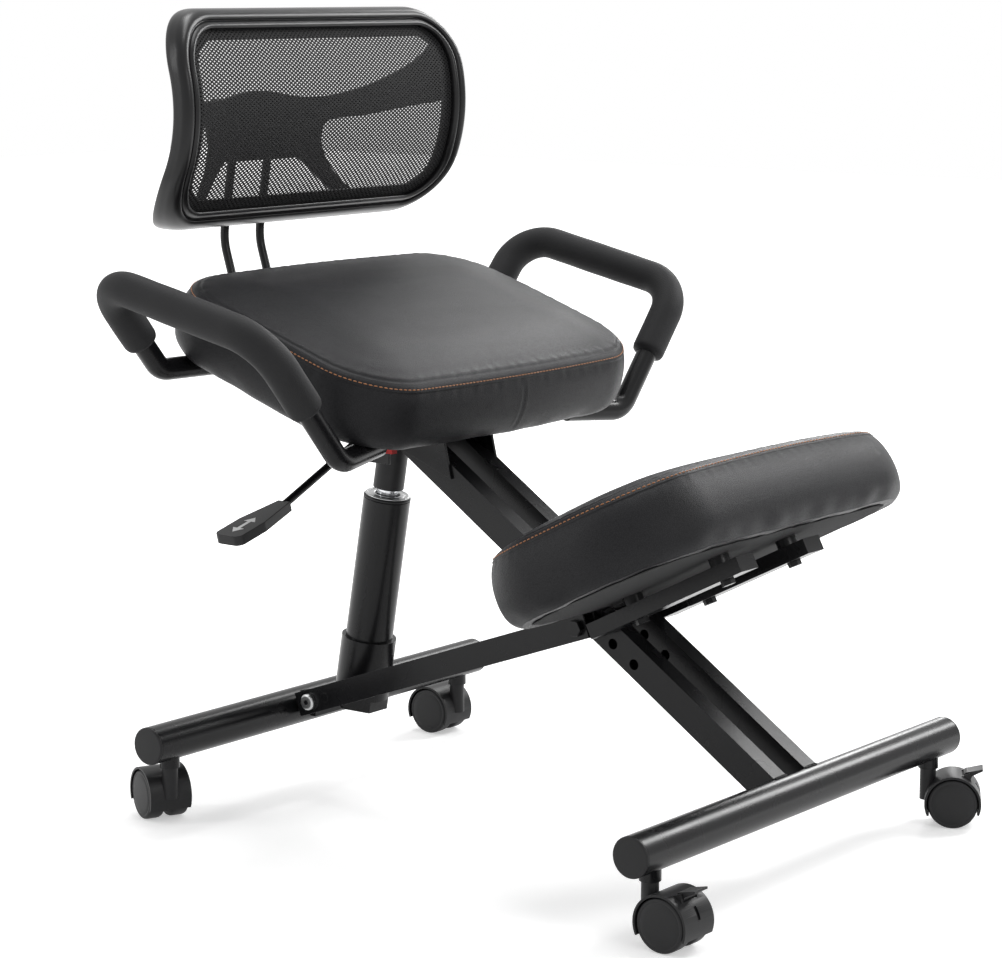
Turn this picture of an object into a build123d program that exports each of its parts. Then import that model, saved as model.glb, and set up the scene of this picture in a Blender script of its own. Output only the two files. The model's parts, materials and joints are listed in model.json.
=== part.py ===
from build123d import *
from math import asin, atan2, cos, degrees, hypot, radians, sin
import os

# A kneeling study chair: a scissor frame on casters with a gas lift, a sloping seat with side
# handles, a knee pad and a mesh back. Sizes in mm, +Z up, floor at Z = 0, the chair faces -Y and
# the sitter's right hand is at -X. Letters y and z in names are places in the side view.

os.makedirs("parts", exist_ok=True)

# Crossbars and their casters
bar_diameter = 38.0
bar_wall = 2.0
bar_height = 84.0
front_bar_y = -324.5
rear_bar_y = 272.5
front_bar_length = 536.0
rear_bar_length = 512.0
cap_thickness = 3.0
cap_plug_depth = 14.0
cap_round = 1.8
caster_inset = 31.0
collar_diameter = 20.0
collar_drop = 8.0
stem_diameter = 11.0
stem_depth = 24.0

wheel_diameter = 50.0
wheel_width = 17.5
wheel_edge = 4.0
wheel_dish = 1.0
wheel_dish_diameter = 37.0
caster_trail = 25.0
axle_diameter = 8.0
caster_web = 7.0
hood_gap = 0.9
hood_thickness = 2.2
hood_start_angle = -22.0
hood_end_angle = 207.0
hood_overhang = 0.6
neck_diameter = 16.0
pedal_pin_diameter = 4.0
pedal_wall = 2.2
pedal_width = 20.0
pedal_reach = 15.0
pedal_ear = 2.5
pedal_angle = 62.0
pedal_rise = 3.5
ear_half_angle = 15.0
web_end_angle = 4.0
hood_slot_width = 4.0
hood_slot_depth = 1.3
hood_slot_start_angle = 12.0
hood_slot_end_angle = 38.0
rear_right_turn = 67.0
rear_left_turn = 90.0
front_right_turn = -90.0
front_left_turn = -60.0

# Scissor frame in the side view
scissor_y = -109.5
scissor_z = 222.0
rear_pivot_y = 234.5
rear_pivot_z = 97.5
lift_pivot_gap = 21.3
top_pivot_y = 170.0
top_pivot_z = 362.0

rail_angle = 33.7
rail_pivot_drop = 2.9
rail_width = 20.0
rail_depth = 30.0
rail_wall = 2.0
rail_spacing = 52.0
rail_top_reach = 297.0
rail_root_overlap = 5.0
spare_hole_pitch = 30.0
spare_holes = 2
spare_hole_diameter = 10.5

stretcher_width = 18.0
stretcher_height = 25.0
stretcher_wall = 2.0
stretcher_front_overhang = 11.0
stretcher_rear_overhang = 18.0
arm_plate = 5.0
arm_plate_gap = 1.5
arm_plate_round = 13.0
arm_width = 28.0
arm_height = 15.0
arm_drop = 65.5
arm_rear = -116.0
arm_front = 74.0
arm_weld_length = 42.0

pivot_bolt_diameter = 10.0
bolt_head_diameter = 17.0
bolt_head_height = 6.0
bolt_head_round = 2.4
bush_wall = 3.5
lug_thickness = 6.0
lug_round = 12.0
lug_web = 5.0
lug_foot_half = 15.2
weld_overlap = 1.0

# Gas lift
socket_diameter = 57.0
socket_wall = 4.0
socket_below = 19.0
socket_floor = 14.0
socket_above = 57.0
socket_hex_height = 12.0
column_top = 208.0
column_wall = 3.0
column_bush_length = 34.0
column_bush_rim = 3.0
column_bush_round = 1.8
rod_diameter = 22.0
rod_foot = 60.0
sleeve_start = 219.0
sleeve_diameter = 32.0
sleeve_rod_end = 250.0
sleeve_end = 280.0
top_pin_clearance = 1.8
button_diameter = 14.0
button_height = 5.0
button_stem_diameter = 6.0
button_stem_depth = 5.0
button_stroke = 3.0

# Seat: a sloping plane through this point on the cushion's lower edge
seat_y = 162.5
seat_z = 441.0
seat_tilt = 19.0
seat_half_width = 225.0
seat_half_depth = 148.0
seat_corner = 72.0
seat_thickness = 74.0
seat_bow = 9.0
board_thickness = 12.0
board_drop = 2.0
board_inset = 16.0
crown_corner_share = 0.8
crown_corner_least = 12.0

bracket_sheet = 3.0
bracket_web_front = -90.0
bracket_web_rear = 30.0
bracket_foot_front = 143.5
bracket_foot_rear = 194.5
bracket_foot_drop = 10.0
bracket_toe_reach = 245.0

# Release lever
lever_y = 167.5
lever_rod_diameter = 8.0
lever_inner_reach = 6.0
lever_bend_reach = 20.0
lever_bend_radius = 14.0
lever_slope = 24.4
lever_ball_diameter = 13.0
paddle_start = 176.0
paddle_length = 88.0
paddle_root_width = 15.0
paddle_tip_width = 34.0
paddle_thickness = 10.0
paddle_slope = 15.0
paddle_root = 10.0
paddle_shoulder = 39.6
paddle_corner = 8.0
paddle_edge = 2.2
lever_button_gap = 1.0

# Handles, in the seat plane's own coordinates
handle_tube_diameter = 22.0
handle_tube_wall = 2.0
grip_diameter = 34.0
handle_inner_end = 150.0
handle_front_foot = (224.0, -128.0)
handle_front_end_v = -110.0
handle_front_top = (327.0, -88.0, 103.0)
handle_rear_top = (327.0, 125.0, 78.0)
handle_rear_foot = (245.0, 97.0)
handle_rear_end_v = 93.0
handle_front_foot_radius = 26.0
handle_front_top_radius = 44.0
handle_rear_top_radius = 38.0
handle_rear_foot_radius = 22.0
grip_front_level = 38.0
grip_rear_level = 14.0

# Knee pad: a plane through the pad's middle, front edge raised
pad_y = -208.0
pad_z = 326.9
pad_tilt = 27.0
pad_half_width = 231.0
pad_half_depth = 120.0
pad_corner = 92.0
pad_thickness = 76.0
pad_bow = 5.0
pad_bolt_rear = -62.0
pad_bolt_front = 46.0
pad_bolt_diameter = 8.0
pad_spacer_diameter = 20.0
pad_bolt_head_height = 5.0
pad_bolt_head_diameter = 13.6

# Mesh back
back_half_width = 215.0
back_top_z = 806.0
back_bottom_z = 587.0
back_corner = 60.0
rim_width = 20.0
rim_depth = 23.0
rim_groove_width = 3.0
rim_groove_depth = 3.0
rim_bead = 11.0
rim_ledge_width = 11.0
rim_ledge_depth = 5.0
lumbar_y = 255.5
lumbar_z = 708.0
lumbar_upper_radius = 156.0
lumbar_lower_radius = 144.0
lumbar_reach = 126.0
mesh_thickness = 1.2
mesh_forward = 4.0
mesh_columns = 21
mesh_rows = 13
mesh_strand = 2.4

shell_thickness = 5.0
shell_centre_y = 352.0
shell_edge_y = 258.5
band_half_width = 92.0
band_top_z = 721.0
band_bottom_z = 648.0
wing_top_z = 742.0
wing_root_z = 686.0
wing_low_z = 704.0
slot_top_half = 50.0
slot_bottom_half = 88.0
leg_width = 34.0
flange_height = 12.0
flange_lift = 1.0
band_dip = 4.0
block_half_width = 48.0
block_depth = 26.0
block_corner = 5.2
block_top_drop = 8.7
back_rod_diameter = 9.0
back_rod_half_spacing = 27.0
back_rod_start = 62.0
back_rod_heel = 205.0
back_rod_bulge = (378.5, 566.0)
back_rod_entry_y = 365.0
back_rod_insertion = 30.0
back_rod_heel_radius = 30.0
back_rod_bulge_radius = 60.0
back_rod_corner_radius = 16.0
clamp_length = 84.0
clamp_width = 34.0
clamp_corner = 5.7
clamp_cover = 4.0

# Clearances
running_fit = 0.08
swing_gap = 0.3
side_gap = 0.5


# Side view helpers: a sketch on side_plane has its x along Y and its y along Z
def side_plane(x):
    return Plane(origin=(x, 0, 0), x_dir=(0, 1, 0), z_dir=(1, 0, 0))


def cross_plane(x, y, z, angle):
    """Plane square to a direction that climbs by this angle towards +Y, with its x along X."""
    rise = (0, cos(radians(angle)), sin(radians(angle)))
    return Plane(origin=(x, y, z), x_dir=(1, 0, 0), z_dir=rise)


seat_plane = Plane(
    origin=(0, seat_y, seat_z),
    x_dir=(1, 0, 0),
    z_dir=(0, -sin(radians(seat_tilt)), cos(radians(seat_tilt))),
)
# The pad plane's y runs up towards the front edge, so its x runs to the sitter's right
pad_plane = Plane(
    origin=(0, pad_y, pad_z),
    x_dir=(-1, 0, 0),
    z_dir=(0, sin(radians(pad_tilt)), cos(radians(pad_tilt))),
)


def side_of(plane, y, z):
    """Side view place of a point given in a sloping plane's own y and z."""
    point = plane.from_local_coords(Vector(0, y, z))
    return (point.Y, point.Z)


def export(part, label):
    part.label = label
    export_step(part, "parts/" + label + ".step")


scissor = (scissor_y, scissor_z)
rear_pivot = (rear_pivot_y, rear_pivot_z)
stretcher_angle = degrees(atan2(scissor_z - rear_pivot_z, scissor_y - rear_pivot_y))
stretcher_rise = (cos(radians(stretcher_angle)), sin(radians(stretcher_angle)))
stretcher_reach = hypot(scissor_y - rear_pivot_y, scissor_z - rear_pivot_z)
lift_pivot = (
    rear_pivot_y + lift_pivot_gap * stretcher_rise[0],
    rear_pivot_z + lift_pivot_gap * stretcher_rise[1],
)
top_pivot = (top_pivot_y, top_pivot_z)

rail_outer = rail_spacing / 2 + rail_width / 2
plate_inner = rail_outer + arm_plate_gap
stretcher_inner = plate_inner + arm_plate
stretcher_outer = stretcher_inner + stretcher_width
bar_radius = bar_diameter / 2
sides = {"right": -1, "left": 1}


# Crossbars: a round tube with a welded collar for each caster stem
def make_crossbar(label, y, length):
    stem_x = length / 2 + cap_thickness - caster_inset
    with BuildPart() as crossbar:
        with BuildSketch(side_plane(-length / 2)):
            with Locations((y, bar_height)):
                Circle(bar_radius)
                Circle(bar_radius - bar_wall, mode=Mode.SUBTRACT)
        extrude(amount=length)
        for side in sides.values():
            with BuildSketch(Plane.XY.offset(bar_height - bar_radius - collar_drop)):
                with Locations((side * stem_x, y)):
                    Circle(collar_diameter / 2)
            extrude(amount=collar_drop + bar_wall + bar_radius / 2)
            with BuildSketch(side_plane(side * stem_x - collar_diameter / 2)):
                with Locations((y, bar_height)):
                    Circle(bar_radius - bar_wall)
            extrude(amount=collar_diameter, mode=Mode.SUBTRACT)
            with BuildSketch(Plane.XY.offset(bar_height - bar_radius - collar_drop)):
                with Locations((side * stem_x, y)):
                    Circle(stem_diameter / 2 + running_fit)
            extrude(amount=collar_drop + bar_radius, mode=Mode.SUBTRACT)
    export(crossbar.part, label)
    return stem_x


def make_bar_cap(label, y, length, side):
    plug = cap_plug_depth
    with BuildPart() as cap:
        with BuildSketch(side_plane(side * length / 2)):
            with Locations((y, bar_height)):
                Circle(bar_radius)
        extrude(amount=side * cap_thickness)
        fillet(cap.faces().sort_by(Axis.X)[-1 if side > 0 else 0].edges(), cap_round)
        with BuildSketch(side_plane(side * length / 2)):
            with Locations((y, bar_height)):
                Circle(bar_radius - bar_wall)
        extrude(amount=-side * plug)
        with BuildSketch(side_plane(side * (length / 2 - plug))):
            with Locations((y, bar_height)):
                Circle(bar_radius - 2 * bar_wall)
        extrude(amount=side * (plug - bar_wall), mode=Mode.SUBTRACT)
    export(cap.part, label)


front_stem_x = make_crossbar("front_crossbar", front_bar_y, front_bar_length)
rear_stem_x = make_crossbar("rear_crossbar", rear_bar_y, rear_bar_length)
for name, side in sides.items():
    make_bar_cap("front_cap_" + name, front_bar_y, front_bar_length, side)
    make_bar_cap("rear_cap_" + name, rear_bar_y, rear_bar_length, side)


# Casters: a hood with its neck, stem and axle, two wheels, and on the front pair a brake pedal.
# In the caster's own side view x runs along the trail from the stem, and y runs up.
wheel_radius = wheel_diameter / 2
hood_inner = wheel_radius + hood_gap
hood_outer = hood_inner + hood_thickness
hood_half = caster_web / 2 + side_gap + wheel_width + hood_overhang
neck_top = bar_height - bar_radius - collar_drop - swing_gap
pedal_barrel = pedal_pin_diameter / 2 + pedal_wall
pedal_radius = hood_inner + pedal_barrel


def polar(radius, angle):
    """Point at this distance and angle from the wheel's middle."""
    return (
        caster_trail + radius * cos(radians(angle)),
        wheel_radius + radius * sin(radians(angle)),
    )


def caster_side(x, y, turn, shift):
    """Plane across the axle, shifted along it, with its x along the trail."""
    trail = (cos(radians(turn)), sin(radians(turn)), 0)
    axle = Vector(trail[1], -trail[0], 0)
    return Plane(origin=Vector(x, y, 0) + axle * shift, x_dir=trail, z_dir=axle)


def make_hood(label, x, y, turn, braked):
    middle = (hood_start_angle + hood_end_angle) / 2
    seat_radius = hood_inner + hood_thickness / 2
    with BuildPart() as hood:
        with BuildSketch(Plane.XY.offset(wheel_radius)):
            with Locations((x, y)):
                Circle(neck_diameter / 2)
        extrude(amount=neck_top - wheel_radius)
        with BuildSketch(caster_side(x, y, turn, -hood_half)):
            with Locations((caster_trail, wheel_radius)):
                Circle(seat_radius)
        extrude(amount=2 * hood_half, mode=Mode.SUBTRACT)
        with BuildSketch(caster_side(x, y, turn, -hood_half)):
            with BuildLine():
                top = ThreePointArc(
                    polar(hood_outer, hood_start_angle),
                    polar(hood_outer, middle),
                    polar(hood_outer, hood_end_angle),
                )
                foot = Line(top @ 1, polar(hood_inner, hood_end_angle))
                inside = ThreePointArc(
                    foot @ 1, polar(hood_inner, middle), polar(hood_inner, hood_start_angle)
                )
                Line(inside @ 1, top @ 0)
            make_face()
        extrude(amount=2 * hood_half)
        with BuildSketch(caster_side(x, y, turn, -caster_web / 2)):
            with BuildLine():
                rim = ThreePointArc(
                    polar(seat_radius, hood_start_angle + web_end_angle),
                    polar(seat_radius, middle),
                    polar(seat_radius, hood_end_angle - web_end_angle),
                )
                Polyline(rim @ 1, polar(axle_diameter, -90), rim @ 0)
            make_face()
        extrude(amount=caster_web)
        with BuildSketch(caster_side(x, y, turn, -hood_half + hood_overhang)):
            with Locations((caster_trail, wheel_radius)):
                Circle(axle_diameter / 2)
        extrude(amount=2 * (hood_half - hood_overhang))
        with BuildSketch(Plane.XY.offset(neck_top)):
            with Locations((x, y)):
                Circle(stem_diameter / 2)
        extrude(amount=stem_depth)
        if braked:
            pivot = polar(pedal_radius, pedal_angle)
            window_half = pedal_width / 2 + side_gap
            with BuildSketch(caster_side(x, y, turn, -window_half)):
                with Locations(pivot):
                    Circle(pedal_barrel + swing_gap)
            extrude(amount=2 * window_half, mode=Mode.SUBTRACT)
            for ear_side in (-1, 1):
                with BuildSketch(caster_side(x, y, turn, ear_side * window_half)):
                    with BuildLine():
                        Polyline(
                            polar(seat_radius, pedal_angle + ear_half_angle),
                            polar(pedal_radius + pedal_pin_diameter, pedal_angle),
                            polar(seat_radius, pedal_angle - ear_half_angle),
                            close=True,
                        )
                    make_face()
                extrude(amount=ear_side * pedal_ear)
            with BuildSketch(caster_side(x, y, turn, -window_half - pedal_ear / 2)):
                with Locations(pivot):
                    Circle(pedal_pin_diameter / 2)
            extrude(amount=2 * window_half + pedal_ear)
            with BuildSketch(caster_side(x, y, turn, -hood_slot_width / 2)):
                with BuildLine():
                    Polyline(
                        polar(hood_outer - hood_slot_depth, hood_slot_start_angle),
                        polar(hood_outer + hood_slot_depth, hood_slot_start_angle),
                        polar(hood_outer + hood_slot_depth, hood_slot_end_angle),
                        polar(hood_outer - hood_slot_depth, hood_slot_end_angle),
                        close=True,
                    )
                make_face()
            extrude(amount=hood_slot_width, mode=Mode.SUBTRACT)
    export(hood.part, label)


def make_wheel(label, x, y, turn, wheel_side):
    inner = caster_web / 2 + side_gap
    with BuildPart() as wheel:
        with BuildSketch(caster_side(x, y, turn, wheel_side * inner)):
            with Locations((caster_trail, wheel_radius)):
                Circle(wheel_radius)
                Circle(axle_diameter / 2 + running_fit, mode=Mode.SUBTRACT)
        extrude(amount=wheel_side * wheel_width)
        rims = wheel.edges().filter_by(GeomType.CIRCLE).group_by(SortBy.RADIUS)[-1]
        fillet(rims, wheel_edge)
        with BuildSketch(caster_side(x, y, turn, wheel_side * (inner + wheel_width - wheel_dish))):
            with Locations((caster_trail, wheel_radius)):
                Circle(wheel_dish_diameter / 2)
        extrude(amount=wheel_side * wheel_dish, mode=Mode.SUBTRACT)
    export(wheel.part, label)


def make_pedal(label, x, y, turn):
    pivot = polar(pedal_radius, pedal_angle)
    with BuildPart() as pedal:
        with BuildSketch(caster_side(x, y, turn, -pedal_width / 2)):
            with Locations(pivot):
                Circle(pedal_barrel)
            with BuildLine():
                Polyline(
                    (pivot[0], pivot[1] + pedal_barrel),
                    (pivot[0] + pedal_reach, pivot[1] + pedal_barrel + pedal_rise),
                    (pivot[0] + pedal_reach, pivot[1] + pedal_barrel + pedal_rise - pedal_wall),
                    (pivot[0], pivot[1] - pedal_barrel / 2),
                    close=True,
                )
            make_face()
            with Locations(pivot):
                Circle(pedal_pin_diameter / 2 + running_fit, mode=Mode.SUBTRACT)
        extrude(amount=pedal_width)
    export(pedal.part, label)


caster_places = {
    "front_right": (-front_stem_x, front_bar_y, front_right_turn, True),
    "front_left": (front_stem_x, front_bar_y, front_left_turn, True),
    "rear_right": (-rear_stem_x, rear_bar_y, rear_right_turn, False),
    "rear_left": (rear_stem_x, rear_bar_y, rear_left_turn, False),
}
for name, (x, y, turn, braked) in caster_places.items():
    make_hood("caster_hood_" + name, x, y, turn, braked)
    make_wheel("caster_wheel_" + name + "_a", x, y, turn, 1)
    make_wheel("caster_wheel_" + name + "_b", x, y, turn, -1)
    if braked:
        make_pedal("brake_pedal_" + name, x, y, turn)


# Rear bracket: two lugs with a web, welded in front of the rear tube between the stretcher bars
lug_outer = stretcher_inner - swing_gap
lug_inner = lug_outer - lug_thickness
with BuildPart() as rear_bracket:
    for side in sides.values():
        with BuildSketch(side_plane(side * lug_inner)):
            with Locations(rear_pivot):
                Circle(lug_round)
            with BuildLine():
                Polyline(
                    (rear_pivot_y, rear_pivot_z + lug_round),
                    (rear_bar_y, bar_height + lug_foot_half),
                    (rear_bar_y, bar_height - lug_foot_half),
                    (rear_pivot_y, rear_pivot_z - lug_round),
                    close=True,
                )
            make_face()
            with Locations(rear_pivot):
                Circle(pivot_bolt_diameter / 2 + running_fit, mode=Mode.SUBTRACT)
        extrude(amount=side * lug_thickness)
    with BuildSketch(side_plane(-lug_inner)):
        with Locations((rear_bar_y - bar_radius - lug_web / 2 + weld_overlap, bar_height)):
            Rectangle(lug_web + 2 * weld_overlap, bar_radius)
    extrude(amount=2 * lug_inner)
    with BuildSketch(side_plane(-lug_outer)):
        with Locations((rear_bar_y, bar_height)):
            Circle(bar_radius)
    extrude(amount=2 * lug_outer, mode=Mode.SUBTRACT)
export(rear_bracket.part, "rear_bracket")


# Stretcher bars, their bolts, and the pins that they carry
def make_stretcher(label, side):
    middle = side * (stretcher_inner + stretcher_width / 2)
    foot = cross_plane(middle, rear_pivot_y, rear_pivot_z, stretcher_angle).offset(-stretcher_rear_overhang)
    length = stretcher_rear_overhang + stretcher_reach + stretcher_front_overhang
    with BuildPart() as stretcher:
        with BuildSketch(foot):
            Rectangle(stretcher_width, stretcher_height)
            Rectangle(
                stretcher_width - 2 * stretcher_wall,
                stretcher_height - 2 * stretcher_wall,
                mode=Mode.SUBTRACT,
            )
        extrude(amount=length)
        with BuildSketch(side_plane(side * stretcher_inner)):
            with Locations(rear_pivot, lift_pivot, scissor):
                Circle(pivot_bolt_diameter / 2)
        extrude(amount=side * stretcher_width, mode=Mode.SUBTRACT)
    export(stretcher.part, label)


def make_rear_bolt(label, side):
    with BuildPart() as bolt:
        with BuildSketch(side_plane(side * lug_inner)):
            with Locations(rear_pivot):
                Circle(pivot_bolt_diameter / 2)
        extrude(amount=side * (stretcher_outer - lug_inner))
        with BuildSketch(side_plane(side * stretcher_outer)):
            with Locations(rear_pivot):
                Circle(bolt_head_diameter / 2)
        extrude(amount=side * bolt_head_height)
        head = bolt.faces().sort_by(Axis.X)[-1 if side > 0 else 0]
        fillet(head.edges(), bolt_head_round)
    export(bolt.part, label)


for name, side in sides.items():
    make_stretcher("stretcher_" + name, side)
    make_rear_bolt("rear_bolt_" + name, side)

with BuildPart() as scissor_bolt:
    with BuildSketch(side_plane(-stretcher_outer)):
        with Locations(scissor):
            Circle(pivot_bolt_diameter / 2)
    extrude(amount=2 * stretcher_outer)
    for side in sides.values():
        with BuildSketch(side_plane(side * stretcher_outer)):
            with Locations(scissor):
                RegularPolygon(bolt_head_diameter / 2, 6)
        extrude(amount=side * bolt_head_height)
export(scissor_bolt.part, "scissor_bolt")

with BuildPart() as scissor_bush:
    with BuildSketch(side_plane(-plate_inner + swing_gap)):
        with Locations(scissor):
            Circle(pivot_bolt_diameter / 2 + bush_wall)
            Circle(pivot_bolt_diameter / 2 + running_fit, mode=Mode.SUBTRACT)
    extrude(amount=2 * (plate_inner - swing_gap))
export(scissor_bush.part, "scissor_bush")

with BuildPart() as lift_pin:
    with BuildSketch(side_plane(-stretcher_outer)):
        with Locations(lift_pivot):
            Circle(pivot_bolt_diameter / 2)
    extrude(amount=2 * stretcher_outer)
export(lift_pin.part, "lift_pin")


# Rails: two rectangular tubes from the front crossbar up to the seat bracket
rail_foot_y = scissor_y - rail_pivot_drop * sin(radians(rail_angle))
rail_foot_z = scissor_z + rail_pivot_drop * cos(radians(rail_angle))
rail_bottom_reach = (front_bar_y - rail_foot_y) * cos(radians(rail_angle)) + (
    bar_height - rail_foot_z
) * sin(radians(rail_angle))


def make_rail(label, side):
    start = rail_bottom_reach + rail_root_overlap
    foot = cross_plane(side * rail_spacing / 2, rail_foot_y, rail_foot_z, rail_angle).offset(start)
    hole_x = side * (rail_spacing / 2 - rail_width / 2)
    with BuildPart() as rail:
        with BuildSketch(foot):
            Rectangle(rail_width, rail_depth)
            Rectangle(rail_width - 2 * rail_wall, rail_depth - 2 * rail_wall, mode=Mode.SUBTRACT)
        extrude(amount=rail_top_reach - start)
        with BuildSketch(side_plane(-stretcher_outer)):
            with Locations((front_bar_y, bar_height)):
                Circle(bar_radius)
        extrude(amount=2 * stretcher_outer, mode=Mode.SUBTRACT)
        with BuildSketch(side_plane(hole_x)):
            with Locations(scissor):
                Circle(pivot_bolt_diameter / 2 + bush_wall)
            for hole in range(1, spare_holes + 1):
                down = hole * spare_hole_pitch
                with Locations(
                    (
                        scissor_y - down * cos(radians(rail_angle)),
                        scissor_z - down * sin(radians(rail_angle)),
                    )
                ):
                    Circle(spare_hole_diameter / 2)
        extrude(amount=side * rail_width, mode=Mode.SUBTRACT)
    export(rail.part, label)


for name, side in sides.items():
    make_rail("rail_" + name, side)


# Gas lift, built along its axis from the lower pivot
lift_angle = degrees(atan2(top_pivot[1] - lift_pivot[1], top_pivot[0] - lift_pivot[0]))
top_reach = hypot(top_pivot[1] - lift_pivot[1], top_pivot[0] - lift_pivot[0])
lift_plane = cross_plane(0, lift_pivot[0], lift_pivot[1], lift_angle)
column_radius = socket_diameter / 2 - socket_wall
rod_radius = rod_diameter / 2
bush_radius = column_radius - column_wall

with BuildPart() as lift_socket:
    with BuildSketch(lift_plane.offset(-socket_below)):
        RegularPolygon(socket_diameter / 2, 6)
    extrude(amount=socket_hex_height)
    with BuildSketch(lift_plane.offset(socket_hex_height - socket_below)):
        Circle(socket_diameter / 2)
    extrude(amount=socket_above + socket_below - socket_hex_height)
    with BuildSketch(lift_plane.offset(socket_floor)):
        Circle(column_radius)
    extrude(amount=socket_above - socket_floor, mode=Mode.SUBTRACT)
    with BuildSketch(side_plane(-socket_diameter)):
        with Locations(lift_pivot):
            Circle(pivot_bolt_diameter / 2 + running_fit)
    extrude(amount=2 * socket_diameter, mode=Mode.SUBTRACT)
export(lift_socket.part, "lift_socket")

with BuildPart() as lift_column:
    with BuildSketch(lift_plane.offset(socket_floor)):
        Circle(column_radius)
        Circle(bush_radius, mode=Mode.SUBTRACT)
    extrude(amount=column_top - socket_floor)
export(lift_column.part, "lift_column")

with BuildPart() as column_bush:
    with BuildSketch(lift_plane.offset(column_top - column_bush_length)):
        Circle(bush_radius)
    extrude(amount=column_bush_length)
    with BuildSketch(lift_plane.offset(column_top)):
        Circle(column_radius)
    extrude(amount=column_bush_rim)
    fillet(column_bush.edges().filter_by(GeomType.CIRCLE).sort_by(Axis.Z)[-1], column_bush_round)
    with BuildSketch(lift_plane.offset(column_top - column_bush_length)):
        Circle(rod_radius + running_fit)
    extrude(amount=column_bush_length + column_bush_rim, mode=Mode.SUBTRACT)
export(column_bush.part, "column_bush")

with BuildPart() as lift_rod:
    with BuildSketch(lift_plane.offset(rod_foot)):
        Circle(rod_radius)
    extrude(amount=sleeve_rod_end - rod_foot)
export(lift_rod.part, "lift_rod")

with BuildPart() as rod_sleeve:
    with BuildSketch(lift_plane.offset(sleeve_start)):
        Circle(sleeve_diameter / 2)
    extrude(amount=sleeve_end - sleeve_start)
    with BuildSketch(lift_plane.offset(sleeve_start)):
        Circle(rod_radius)
    extrude(amount=sleeve_rod_end - sleeve_start, mode=Mode.SUBTRACT)
    with BuildSketch(side_plane(-sleeve_diameter)):
        with Locations(top_pivot):
            Circle(pivot_bolt_diameter / 2 + top_pin_clearance)
    extrude(amount=2 * sleeve_diameter, mode=Mode.SUBTRACT)
    with BuildSketch(lift_plane.offset(sleeve_end)):
        Circle(button_stem_diameter / 2 + running_fit)
    extrude(amount=-(button_stem_depth + button_stroke), mode=Mode.SUBTRACT)
export(rod_sleeve.part, "rod_sleeve")

button_foot = sleeve_end + button_stroke + swing_gap
with BuildPart() as release_button:
    with BuildSketch(lift_plane.offset(button_foot)):
        Circle(button_diameter / 2)
    extrude(amount=button_height)
    with BuildSketch(lift_plane.offset(button_foot)):
        Circle(button_stem_diameter / 2)
    extrude(amount=-(button_foot - sleeve_end + button_stem_depth - swing_gap))
export(release_button.part, "release_button")


# Seat bracket: a folded channel under the seat, with the gas lift's top pin and the lever's seat
cheek_inner = rail_outer
cheek_outer = cheek_inner + bracket_sheet
board_level = -board_drop
foot_level = top_pivot_z - bracket_foot_drop
toe_y = rail_foot_y + bracket_toe_reach * cos(radians(rail_angle))
toe_z = rail_foot_z + bracket_toe_reach * sin(radians(rail_angle))
button_axis_z = lift_pivot[1] + (button_foot + button_height) * sin(radians(lift_angle))
lever_z = button_axis_z + swing_gap + lever_rod_diameter / 2 + lever_button_gap
ball_x = -(cheek_inner + cheek_outer) / 2
ball_z = lever_z - (-ball_x - lever_bend_reach) * sin(radians(lever_slope)) / cos(radians(lever_slope))

with BuildPart() as seat_bracket:
    for side in sides.values():
        with BuildSketch(side_plane(side * cheek_inner)):
            with BuildLine():
                Polyline(
                    (bracket_foot_front, foot_level),
                    (bracket_foot_rear, foot_level),
                    side_of(seat_plane, bracket_web_rear, board_level),
                    side_of(seat_plane, bracket_web_front, board_level),
                    (toe_y - rail_depth, toe_z - rail_depth / 2),
                    (bracket_foot_front, toe_z + rail_depth / 2),
                    close=True,
                )
            make_face()
            with Locations(top_pivot):
                Circle(pivot_bolt_diameter / 2, mode=Mode.SUBTRACT)
        extrude(amount=side * bracket_sheet)
    web_middle = (bracket_web_front + bracket_web_rear) / 2
    with BuildSketch(seat_plane.offset(board_level)):
        with Locations((0, web_middle)):
            Rectangle(2 * cheek_outer, bracket_web_rear - bracket_web_front)
    extrude(amount=-bracket_sheet)
    with BuildSketch(side_plane(ball_x - bracket_sheet)):
        with Locations((lever_y, ball_z)):
            Circle(lever_ball_diameter / 2 + running_fit)
    extrude(amount=2 * bracket_sheet, mode=Mode.SUBTRACT)
export(seat_bracket.part, "seat_bracket")

with BuildPart() as top_pin:
    with BuildSketch(side_plane(-cheek_outer)):
        with Locations(top_pivot):
            Circle(pivot_bolt_diameter / 2)
    extrude(amount=2 * cheek_outer)
    for side in sides.values():
        with BuildSketch(side_plane(side * cheek_outer)):
            with Locations(top_pivot):
                Circle(bolt_head_diameter / 2)
        extrude(amount=side * bolt_head_height / 2)
export(top_pin.part, "top_pin")


# Release lever: a bent rod with a ball in the right cheek, and a flat paddle
slope_run = cos(radians(lever_slope))
slope_fall = sin(radians(lever_slope))
rod_run = paddle_start - lever_bend_reach
paddle_x = -paddle_start
paddle_z = lever_z - rod_run * slope_fall / slope_run
paddle_plane = Plane(
    origin=(paddle_x, lever_y, paddle_z),
    x_dir=(-cos(radians(paddle_slope)), 0, -sin(radians(paddle_slope))),
    z_dir=(-sin(radians(paddle_slope)), 0, cos(radians(paddle_slope))),
)

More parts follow.
